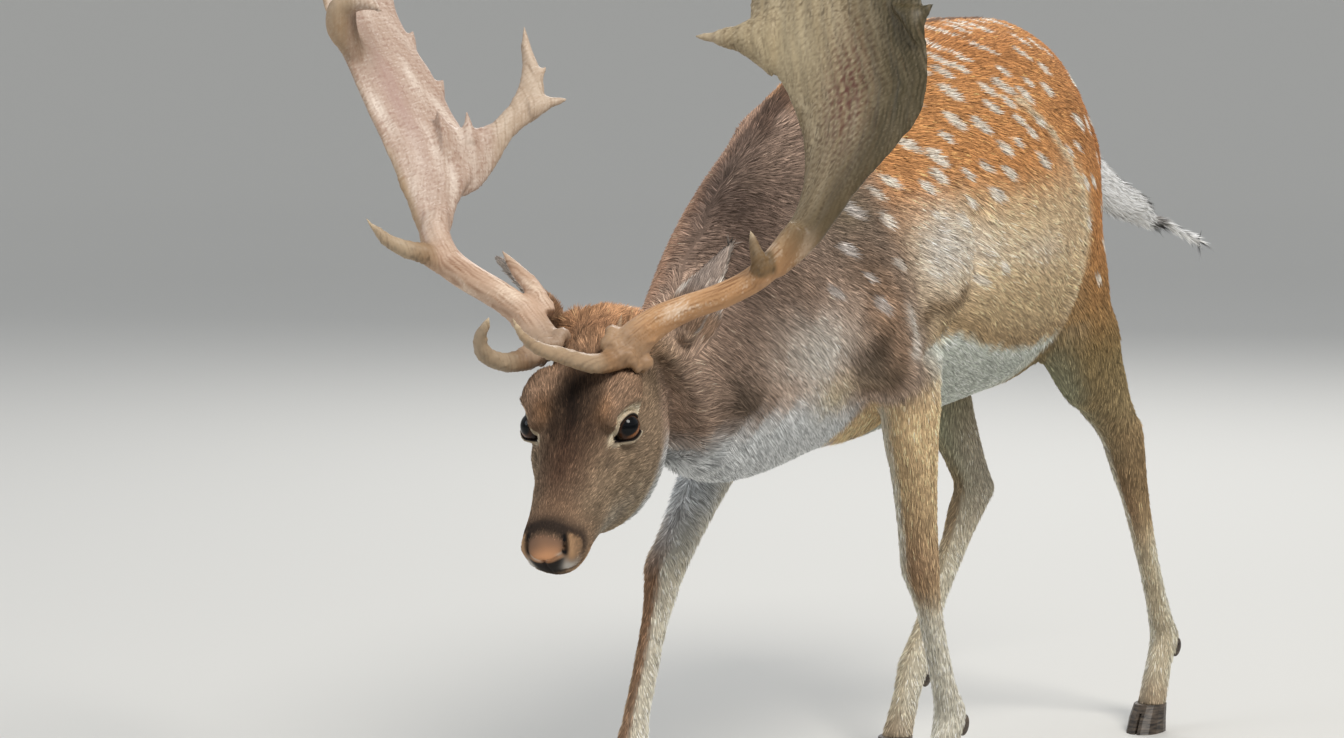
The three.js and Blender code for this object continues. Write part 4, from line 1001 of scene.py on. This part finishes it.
def locks(name, places, normals, length, width, rise, flow, unwrap, colour):
    """Closed four-sided locks, each a tetrahedron: a low three-cornered root and a tip that lies along the flow."""
    n = len(places)
    across = unit(np.cross(flow, normals))
    across = unit(across + normals * rng.normal(0, .22, n)[:, None])
    length, width, rise = (np.broadcast_to(x, (n,))[:, None] for x in (length, width, rise))
    foot = places - normals * .6
    left, right = foot - across * width / 2, foot + across * width / 2
    top = foot + normals * (.6 + width * .38) + flow * length * .12
    tip = places + flow * length + normals * (length * rise) + across * rng.normal(0, .09, n)[:, None] * length
    points = np.stack([left, right, top, tip], 1).reshape(-1, 3)
    base = np.arange(n)[:, None] * 4
    faces = np.concatenate([base + [0, 1, 2], base + [0, 2, 3], base + [1, 3, 2], base + [0, 3, 1]], 1).reshape(-1, 3)
    mesh = mesh_from(name, points, None, faces)
    shade = np.repeat(colour, 4, 0).reshape(n, 4, 3)
    clump = 1 + .20 * noise(places, 4.6, 12, 7) + .17 * noise(places, 9, 10, 28) + .12 * noise(places, 20, 8, 18)
    # painted shade and light: each lock's root corners are darkened and its tip lightened, for depth in the coat
    shade = shade * np.array([.58, .58, .84, 1.22])[None, :, None] * (np.clip(clump, .3, 1.9) * np.exp(rng.normal(-.06, .36, n)))[:, None, None]
    vertex_colours(mesh, "shade", np.clip(shade.reshape(-1, 3), 0, 1))
    uv = np.clip(unwrap, .004, .996)[:, None] + np.array([[-.0015, -.0015], [.0015, -.0015], [0, -.0004], [0, .0015]])
    layer = mesh.uv_layers.new(name="OFBake")
    loops = np.empty(len(mesh.loops), np.int32)
    mesh.loops.foreach_get("vertex_index", loops)
    layer.data.foreach_set("uv", uv.reshape(-1, 2)[loops].astype(np.float32).reshape(-1))
    soft = unit(np.repeat(normals, 4, 0) + .35 * np.tile([[-1.0], [1.0], [0], [0]], (n, 1)) * np.repeat(across, 4, 0))
    mesh.shade_smooth()
    mesh.normals_split_custom_set_from_vertices(soft.astype(np.float32))
    return mesh


def around_axis(p, centre, along, start, end):
    """Unwrap: angle round an axis, and place along it."""
    along = unit(along)
    first = unit(np.cross(along, [.3, .2, .95]))
    second = np.cross(along, first)
    q = p - centre
    return np.stack([(np.arctan2(q @ first, q @ second) / (2 * np.pi) + .5), (q @ along - start) / (end - start)], 1)


skin_points, skin_normals = points_of(skin_mesh), normals_of(skin_mesh)
skin_mesh.calc_loop_triangles()
skin_tris = np.empty(len(skin_mesh.loop_triangles) * 3, np.int32)
skin_mesh.loop_triangles.foreach_get("vertices", skin_tris)
skin_tris = skin_tris.reshape(-1, 3)
mid = skin_points[skin_tris].mean(1)
mh = head_axes(mid)
nearest_ear = np.minimum(*[near_path(mid, np.array(EARS[k])[:, :3])[0] for k in EARS])
ears_part = (nearest_ear < 36) & (mh[:, 0] < 22) & (mh[:, 2] < -8) & (np.minimum(*[near_path(mid, np.array(EARS[k])[:, :3])[1] for k in EARS]) > .0)
head_part = (.536 * (mh[:, 0] - 18) + .845 * (mh[:, 2] + 51) > -6) & (mh[:, 0] > -30) & (mid[:, 1] < -240) & ~ears_part
tail_part = (mid[:, 1] > 722) & (mid[:, 2] > 560)
leg_part = (mid[:, 2] < leg_top(mid[:, 1]) - 20) & (np.abs(mid[:, 0]) > 34) & ~head_part
neck_part = (mid[:, 1] + .35 * (mid[:, 2] - 650) < -60) & ~head_part & ~ears_part & ~leg_part
rest_part = ~(ears_part | head_part | tail_part | leg_part | neck_part)
left_part = mid[:, 0] > 0
COATS = [   # name, triangles, locks, length, width, rise, unwrap axis
    ("coat_head", head_part, 47000, 6.5, 1.25, .16, (head_point(0, 0, -70), TO_NOSE, -60, 330)),
    ("coat_ears", ears_part, 16000, 6.5, 1.1, .12, (np.array([0, -320, 620.0]), [1, 0, 0], -230, 110)),
    ("coat_neck_left", neck_part & left_part, 40000, 13, 1.9, .16, (np.array([0, -150, 600.0]), [0, 1, 0], -200, 260)),
    ("coat_neck_right", neck_part & ~left_part, 32000, 13, 2.0, .16, (np.array([0, -150, 600.0]), [0, 1, 0], -200, 260)),
    ("coat_flank_left", rest_part & left_part & (mid[:, 1] < 290), 49000, 14, 2.0, .15, (np.array([0, 100, 660.0]), [0, 1, 0], -240, 260)),
    ("coat_rump_left", rest_part & left_part & (mid[:, 1] >= 290), 47000, 14, 2.0, .15, (np.array([0, 500, 680.0]), [0, 1, 0], -220, 260)),
    ("coat_flank_right", rest_part & ~left_part & (mid[:, 1] < 290), 34000, 15, 2.4, .15, (np.array([0, 100, 660.0]), [0, 1, 0], -240, 260)),
    ("coat_rump_right", rest_part & ~left_part & (mid[:, 1] >= 290), 34000, 15, 2.4, .15, (np.array([0, 500, 680.0]), [0, 1, 0], -220, 260)),
    ("coat_forelegs", leg_part & (mid[:, 1] < 330), 34000, 9, 1.5, .14, (np.array([0, 0, 0.0]), [0, 0, 1], 0, 520)),
    ("coat_hindlegs", leg_part & (mid[:, 1] >= 330), 34000, 9, 1.5, .14, (np.array([0, 620, 0.0]), [0, 0, 1], 0, 520)),
    ("crown_hair", head_part & (np.abs(mh[:, 1]) < 46) & (mh[:, 0] > -24) & (mh[:, 0] < 74) & (mh[:, 2] > -34), 5200, 15, 1.5, .12,
     (head_point(0, 0, -70), TO_NOSE, -60, 330)),
    ("coat_tail", tail_part, 9000, 30, 2.4, .16, (np.array([0, 800, 720.0]), [0, 1, -.4], -110, 340)),
]
for name, part, count, length, width, rise, (centre, along, start, end) in COATS:
    places, faces, total = roots(skin_points, skin_tris, part, count)
    n = unit(skin_normals[skin_tris[faces]].mean(1))
    k = len(places)
    flow = lie(places, n)
    h = head_axes(places)
    short = np.ones(k)
    if name == "coat_head":
        muzzle = step(h[:, 0], 180, 290)
        eyes = np.minimum(*[np.linalg.norm(h - np.array(EYE_AT) * (1, s, 1), axis=1) for s in SIDES])
        rho = np.minimum(*[np.where(eye_axes(h, s)[:, 2] > -16, opening(eye_axes(h, s)), 9) for s in SIDES])
        bare = (rho < 1.22) | ((h[:, 0] > 297) & (h[:, 2] > -56))
        short = (1 - .62 * muzzle) * (.38 + .62 * step(eyes, 17, 40)) * (1 + .8 * bump(h, (30, 0, 0), (40, 50, 30)))
        keep = ~bare
        places, n, flow, short, h = (x[keep] for x in (places, n, flow, short, h))
        k = len(places)
    if name == "coat_ears":
        keep = np.maximum(*[near_path(places, np.array(EARS[e])[:, :3])[1] * (near_path(places, np.array(EARS[e])[:, :3])[0] < 40)
                            for e in EARS]) < .93
        places, n, flow, short, h = (x[keep] for x in (places, n, flow, short, h))
        k = len(places)
    size = short * rng.uniform(.75, 1.25, k)
    colour = coat_colour(places, n)
    if name == "crown_hair":                  # a whorl: hair swings outward and up, in uneven dark and pale locks
        swirl = noise(places, 34, 10, 2)[:, None]
        flow = unit(flow + np.cross(n, flow) * 1.7 * swirl + n * .04)
        colour = colour * np.clip(1.05 + .7 * noise(places, 14, 10, 15), .4, 1.6)[:, None]
    mesh = locks(name, places, n, length * size, width * np.sqrt(short), rise * rng.uniform(.5, 1.5, k), flow,
                 around_axis(places, centre, along, start, end), colour)
    shown(name, mesh, coat)

# ---------------------------------------------------------------- antlers
BRANCH = [   # the right palm's rear branch: upper edge (x, y, z), lower edge (x, y, z), thickness
    [-221, -378, 829, -212, -385, 716, 22], [-213, -361, 810, -203, -363, 731, 21], [-203, -341, 808, -192, -341, 742, 20],
    [-193, -320, 811, -186, -321, 763, 19], [-188, -306, 821, -181, -306, 784, 18], [-183, -296, 832, -173, -293, 802, 17],
    [-181, -287, 844, -159, -277, 817, 16], [-180, -281, 855, -156, -267, 845, 15], [-182, -274, 872, -164, -263, 870, 13],
    [-185, -269, 889, -173, -262, 887, 11], [-187, -264, 905, -181, -260, 904, 8], [-189, -260, 917, -187, -259, 917, 4],
]
LEFT_SPIKE = [[-1, -382, 582, 6.7], [-2, -371, 593, 5.1], [-2, -363, 606, 3.8], [-3, -356, 620, 1.3]]
RIGHT_POINTS = [   # side point and shoulder of the branch, the small point in its crook, the palm's front point curled back
    [[-168, -282, 828, 12.6], [-151, -268, 833, 7.5], [-133, -255, 837, 1.1]],
    [[-172, -276, 850, 9], [-162, -267, 864, 6], [-157, -261, 873, 1.3]],
    [[-200, -348, 792, 9], [-202, -347, 810, 5], [-204, -347, 826, 1.1]],
    [[-303, -405, 880, 8], [-312, -421, 914, 15], [-303, -428, 938, 14], [-279, -426, 941, 9.5], [-257, -421, 930, 1.1]],
]
SMALL_RIGHT = 2                              # the first spurs of the right palm are low scallops
GRAIN = (3.2, 46.0)                          # spacing of the grooves across and along the growth


def flared(rows, around, per, wide, thin):
    """A point that spreads into the palm: round at the tip, toward the root wider by (1 - t) squared and flatter."""
    r = np.array(rows, float)
    t = np.linspace(0, 1, len(r))
    r[:, 3] *= 1 + wide * (1 - t) ** 2
    fine = np.linspace(0, 1, (len(r) - 1) * per + 1)
    flat = 1 - (1 - 1 / (1 + wide * 1.1)) * (1 - fine) ** 1.5
    return rod_rings(r, around, per, 0, flat[:, None, None], thin)


def antler_axes(p, side):
    """Place along beam and palm (0 to 1, the palm from .42), signed place across it, and distance over half width."""
    beam, palm = np.array(BEAMS[side], float), np.array(PALMS[side], float)
    mid = (palm[:, :3] + palm[:, 3:6]) / 2
    line = np.vstack([beam[:-1, :3], mid])
    half = np.concatenate([beam[:-1, 3], np.linalg.norm(palm[:, :3] - palm[:, 3:6], axis=1) / 2])
    front = np.vstack([np.repeat(palm[:1, :3] - palm[:1, 3:6], len(beam) - 1, 0), palm[:, :3] - palm[:, 3:6]])
    d, t = near_path(p, line)
    x = t * (len(line) - 1)
    i = np.clip(x.astype(int), 0, len(line) - 2)
    f = (x - i)[:, None]
    centre = line[i] * (1 - f) + line[i + 1] * f
    across = ((p - centre) * unit(front[i] * (1 - f) + front[i + 1] * f)).sum(1)
    reach = np.interp(x, np.arange(len(line)), half)
    length = np.concatenate([[0], np.cumsum(np.linalg.norm(np.diff(line, axis=0), axis=1))])
    return np.interp(x, np.arange(len(line)), length), across, reach, d, x / (len(line) - 1), length[len(beam) - 1]


def antler_relief(p, n, side):
    """Fine grooves along the growth on beam and palm, pearls near the burr."""
    along, across, reach, d, t, start = antler_axes(p, side)
    grain = noise(np.stack([across / GRAIN[0], along / GRAIN[1], 0 * d], 1) * 8, 8, 12, 3)
    pearls = np.maximum(noise(p, 9, 12, 20), 0) ** 1.5 * (1 - step(along, 45, 105))
    ridge = noise(np.stack([across / 9, along / 150, 0 * d], 1) * 8, 8, 8, 9)
    return p + n * (grain * .45 + ridge * .8 * step(along, 60, 200) + pearls * 1.5)[:, None]


def antler_colour(p, n, side):
    """Bone colours: streaks along the growth, dark rear edge, pale points, warm beam and grey burr."""
    along, across, reach, d, t, start = antler_axes(p, side)
    streak = noise(np.stack([across / 2.6, along / 38, 0 * d], 1) * 8, 8, 12, 3)
    crack = noise(np.stack([across / 24, along / 3.0, 0 * d], 1) * 8, 8, 12, 11) * 2 + noise(p, 4.2, 12, 27)
    broad = noise(np.stack([across / 14, along / 90, 0 * d], 1) * 8, 8, 10, 14)
    speck = noise(p, 5.5, 12, 25) * 2.4
    v = np.clip(across / reach, -1.4, 1.4)
    root, tips = np.array(BEAMS[side][-1][:3], float), np.array(PALMS[side][3], float)
    palm = step((p - root) @ unit((tips[:3] + tips[3:6]) / 2 - root), -80, 15)
    left = side == "left"
    # painted shade: the left antler's base and streak tones are darker and greener than the right's
    c = np.broadcast_to(linear((146, 130, 102) if left else (180, 157, 141)), p.shape).copy()
    c = paint(c, (188, 172, 142) if left else (226, 212, 198), np.clip(broad * .8 + streak * .4, 0, 1) * .7)
    c = paint(c, (92, 76, 46) if left else (160, 130, 112), np.clip(-streak * .7 - broad * .5 - .1, 0, 1) * .85)
    fine = noise(p, 3.2, 14, 26) * 2.4
    c = paint(c, (84, 66, 42) if left else (140, 106, 90), np.clip(speck - .5, 0, 1) * (.8 if left else .6))
    c = paint(c, (96, 78, 52) if left else (146, 112, 94), np.clip(fine - .4, 0, 1) * .55)
    c = paint(c, (206, 190, 162) if left else (232, 220, 208), np.clip(-fine - .5, 0, 1) * .4)
    c = paint(c, (78, 62, 40) if left else (156, 128, 112), np.clip(crack - .8, 0, 1) * palm * (.6 if left else .35))
    if left:
        c = paint(c, (54, 47, 26), step(-v, -.1, .7) * (.85 + .4 * streak))
        c = paint(c, (92, 76, 52), (1 - step(along, start + 60, start + 210)) * palm * .6)
        c = paint(c, (88, 44, 34), bump(p, (212, -262, 850), (24, 60, 56)) * np.clip(.55 + .5 * streak + .5 * speck, 0, 1))
        c = paint(c, (66, 50, 30), np.clip(-streak * 1.6 - .4, 0, 1) * palm * .7)
        c = paint(c, (186, 170, 138), bump(p, (140, -262, 890), (50, 60, 50)) * .5)
    else:
        c = paint(c, (156, 122, 112), np.exp(-((v - .25) / .22) ** 2) * bump(p, (-262, -390, 850), (60, 60, 80)) * 1.0
                  * (.65 + .35 * streak))
        c = paint(c, (158, 132, 98), step(v, .75, 1.0) * .7)
        c = paint(c, (110, 88, 64), bump(p, (-296, -410, 908), (20, 24, 40)) * .8)
    beam = (1 - palm)
    c = paint(c, (200, 150, 104) if left else (190, 158, 132), beam * .75)
    c = paint(c, (112, 72, 40) if left else (128, 88, 60), beam * np.clip(-streak * .9 - broad * .4, 0, 1) * .9)
    c = paint(c, (228, 208, 186), beam * np.clip(broad * 1.5 - .2 + .35 * streak + .3 * fine, 0, 1) * step(along, 20, 70) * .95)
    c = paint(c, (214, 186, 160), bump(p, tuple(np.array(BEAMS[side][0][:3], float) + (0, 0, 14)), (24, 24, 24)) * np.clip(.5 + fine, 0, 1) * .6)
    c = paint(c, (122, 104, 84), (1 - step(along, 10, 42)) * .55)
    for name, rows in TINES[side].items():
        path = np.array(rows, float)
        dist, u = near_path(p, path[:, :3])
        on = step(u, .12, .3) * (1 - step(dist, 14, 20))
        if left or name in ("brow", "trez"):
            tone = {"brow": (128, 90, 52) if left else (106, 80, 52), "trez": (88, 70, 42) if left else (140, 114, 84),
                    }.get(name, (176, 150, 120))
            c = paint(c, tone, on * .8)
            # dark streaks at random, plus painted shade on the tines' downward-facing sides
            c = paint(c, (70, 54, 32), on * np.clip(-noise(p, 6, 10, 5) - .2 + .5 * step(-n[:, 2], 0, .7), 0, 1) * .7)
            c = paint(c, (206, 186, 152), on * step(u, .8, 1) * .8)
    c = paint(c, (192, 174, 148), step(d, reach + 14, reach + 40) * .45)
    c = paint(c, (120, 96, 74), step(d, reach + 10, reach + 30) * np.clip(-streak * .8 - .1, 0, 1) * .8)
    return c


antler = painted("antler bone", .52, specular=.35)
for side, s in (("left", 1), ("right", -1)):
    palm = np.array(PALMS[side], float)
    plate_normal = unit(np.cross(palm[5, :3] - palm[5, 3:6], palm[7, :3] - palm[3, :3]))
    beam = np.array(BEAMS[side], float)
    grids = [rod_rings(BEAMS[side], 28, 8), plate_rings(PALMS[side], 40, 6)]
    grids += [rod_rings(t, 18, 6) for k, t in TINES[side].items() if not k.startswith("back")]
    grids += [flared(t, 18, 6, .35 if side == "right" and k < SMALL_RIGHT else 1.5, plate_normal)
              for k, t in enumerate(SPURS[side])]
    if side == "left":
        grids.append(rod_rings(LEFT_SPIKE, 16, 6))
    else:
        grids += [plate_rings(BRANCH, 30, 5)] + [flared(t, 16, 6, .3, plate_normal) for t in RIGHT_POINTS]
    axis = unit(beam[1, :3] - beam[0, :3])
    u0 = unit(np.cross(axis, [0, 0, 1.0]))
    v0 = np.cross(axis, u0)
    for k in range(22):                       # the burr: a ring of uneven pearls round the root of the beam
        a, size = 2 * np.pi * k / 11 + .3 * math.sin(3 * k), 7.2 + 1.6 * math.sin(5 * k + 1)
        at = beam[0, :3] + axis * (7 * (k > 10) - 1 + 2.5 * math.sin(2 * k)) + (u0 * math.cos(a) + v0 * math.sin(a)) * (beam[0, 3] + 3)
        grids.append(ellipsoid_rings(at, np.eye(3) * size, 8, 12))
    points, quads, tris = joined(grids)
    mesh = evaluated(mesh_from("antler", points, quads, tris),
                     ("REMESH", {"mode": "VOXEL", "voxel_size": .0019, "use_smooth_shade": True}))
    p = relaxed(points_of(mesh), edges_of(mesh), .5, 12)
    put_points(mesh, p)
    p = antler_relief(p, normals_of(mesh), side)
    put_points(mesh, p)
    vertex_colours(mesh, "shade", np.clip(antler_colour(p, normals_of(mesh), side), 0, 1))
    o = shown("antler_" + side + "_bone", mesh, antler)
    nodes = ["beam", "palm", "brow_tine", "trez_tine"] + ["bez_tine", "back_tine", "back_side_tine"] * (side == "right")
    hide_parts(*[f"antler_{side}_{part}" for part in nodes])

# ---------------------------------------------------------------- horn of the hooves
horn = material("hoof horn", .42, specular=.4)
nodes, links = horn.node_tree.nodes, horn.node_tree.links
shader = nodes["Principled BSDF"]
place = nodes.new("ShaderNodeTexCoord")
squashed = nodes.new("ShaderNodeMapping")
squashed.inputs["Scale"].default_value = (60, 60, 420)
links.new(place.outputs["Object"], squashed.inputs["Vector"])
rings = nodes.new("ShaderNodeTexNoise")
rings.inputs["Scale"].default_value, rings.inputs["Detail"].default_value = 1.0, 5.0
links.new(squashed.outputs["Vector"], rings.inputs["Vector"])
tones = nodes.new("ShaderNodeValToRGB")
tones.color_ramp.elements[0].position, tones.color_ramp.elements[1].position = .35, .7
tones.color_ramp.elements[0].color = (*linear((34, 29, 26)), 1)
tones.color_ramp.elements[1].color = (*linear((96, 84, 72)), 1)
links.new(rings.outputs["Fac"], tones.inputs["Fac"])
links.new(tones.outputs["Color"], shader.inputs["Base Color"])
grooves = nodes.new("ShaderNodeBump")
grooves.inputs["Strength"].default_value, grooves.inputs["Distance"].default_value = .5, .001
links.new(rings.outputs["Fac"], grooves.inputs["Height"])
links.new(grooves.outputs["Normal"], shader.inputs["Normal"])
for name, hoof in frame["nodes"].items():
    if name.startswith("hoof"):
        hoof.data.materials.clear()
        hoof.data.materials.append(horn)
claws = []
for joints in (np.array(j, float) for j in JOINTS.values()):
    down = unit(joints[3] - joints[2])
    rear = unit(np.array([0, -down[2], down[1]]))
    for s in SIDES:
        claws.append(ellipsoid_rings(joints[2] + rear * 21 + down * 9 + X_AXIS * (s * 11), np.stack([X_AXIS * 6, rear * 8, down * 13]), 12, 16))
points, quads, tris = joined(claws)
shown("dewclaws", mesh_from("dewclaws", points, quads, tris), horn)

# ---------------------------------------------------------------- eyes
eye_surface = painted("wet eye", .05, specular=.18)
for side, s in (("left", 1), ("right", -1)):
    turn = np.array([1, s, 1])
    centre = np.array(EYE_AT) * turn
    frame_of_eye = np.stack([EYE_LONG * turn, EYE_UP * turn, EYE_OUT * turn])
    to_body = np.stack([TO_NOSE, TO_LEFT, TO_TOP])
    axes = (frame_of_eye @ to_body) * EYE_RADIUS
    grid = ellipsoid_rings(head_point(*centre), axes, 72, 72)
    if s < 0:
        grid = grid[:, ::-1]
    points, quads, tris = joined([grid])
    e = eye_axes(head_axes(points), s)
    x, y = e[:, 0] + .5, e[:, 1] - .8
    pupil = np.hypot(x / 11.6, (y - 1.6) / 8.2)
    iris = np.hypot(x / 14.0, y / 11.0)
    fibres = .8 + .35 * np.sin(np.arctan2(y, x) * 37 + 3 * np.sin(np.arctan2(y, x) * 7))
    c = np.broadcast_to(linear((24, 17, 13)), points.shape).copy()
    # painted light and shade: the iris is bright only in a crescent at the bottom and dark under the upper lid's shadow
    c = paint(c, (150, 94, 52), (1 - step(iris, .8, 1.0)) * np.clip(fibres, 0, 1) * (.1 + .75 * step(-y, 3, 8)))
    c = paint(c, (70, 44, 28), np.exp(-((iris - .92) / .1) ** 2) * .6)
    c = paint(c, (6, 7, 9), 1 - step(pupil, .84, 1.1))
    mesh = mesh_from("eyeball", points, quads, tris)
    vertex_colours(mesh, "shade", c)
    o = shown(f"eyeball_{side}", mesh, eye_surface)
    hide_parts(f"eye_{side}")

# ---------------------------------------------------------------- floor and light
reach = np.concatenate([np.linspace(0, 9, 12), 9 + 4 * np.sin(np.linspace(.08, .5, 16) * np.pi)])
rise = np.concatenate([np.zeros(12), 4 - 4 * np.cos(np.linspace(.08, .5, 16) * np.pi)])
turn = np.arange(72) * 2 * np.pi / 72
dish = np.stack([reach[:, None] * np.cos(turn), reach[:, None] * np.sin(turn), rise[:, None] + 0 * turn], -1)
i, j = np.meshgrid(np.arange(27), np.arange(72), indexing="ij")
wall = np.stack([i * 72 + j, i * 72 + (j + 1) % 72, (i + 1) * 72 + (j + 1) % 72, (i + 1) * 72 + j], -1).reshape(-1, 4)
floor = bpy.data.meshes.new("floor")
floor.from_pydata(dish.reshape(-1, 3).tolist(), [], wall[:, ::-1].tolist())
floor.shade_smooth()
ground = bpy.data.objects.new("floor", floor)
bpy.context.scene.collection.objects.link(ground)
floor.materials.append(material("pale floor", .9, (204, 202, 197)))


def lamp(name, place, target, size, power, colour=(1, 1, 1)):
    data = bpy.data.lights.new(name, "AREA")
    data.shape, data.size, data.energy, data.color = "DISK", size, power, colour
    o = bpy.data.objects.new(name, data)
    o.location = Vector(place)
    o.rotation_mode = "QUATERNION"
    o.rotation_quaternion = (Vector(target) - Vector(place)).to_track_quat("-Z", "Y")
    bpy.context.scene.collection.objects.link(o)


lamp("key", (3.4, -2.0, 4.6), (0, 0, .6), 2.2, 250, (1, .97, .92))
lamp("fill", (-3.5, -4.0, 2.6), (0, 0, .6), 3.0, 60, (.92, .96, 1))
lamp("rim", (-1.5, 4.0, 3.6), (0, 0, .8), 2.5, 110)
world = bpy.data.worlds.new("sky")
bpy.context.scene.world = world
world.use_nodes = True
world.node_tree.nodes["Background"].inputs["Color"].default_value = (.86, .90, .95, 1)
world.node_tree.nodes["Background"].inputs["Strength"].default_value = .60
bpy.context.scene.view_settings.view_transform = "Standard"

import json
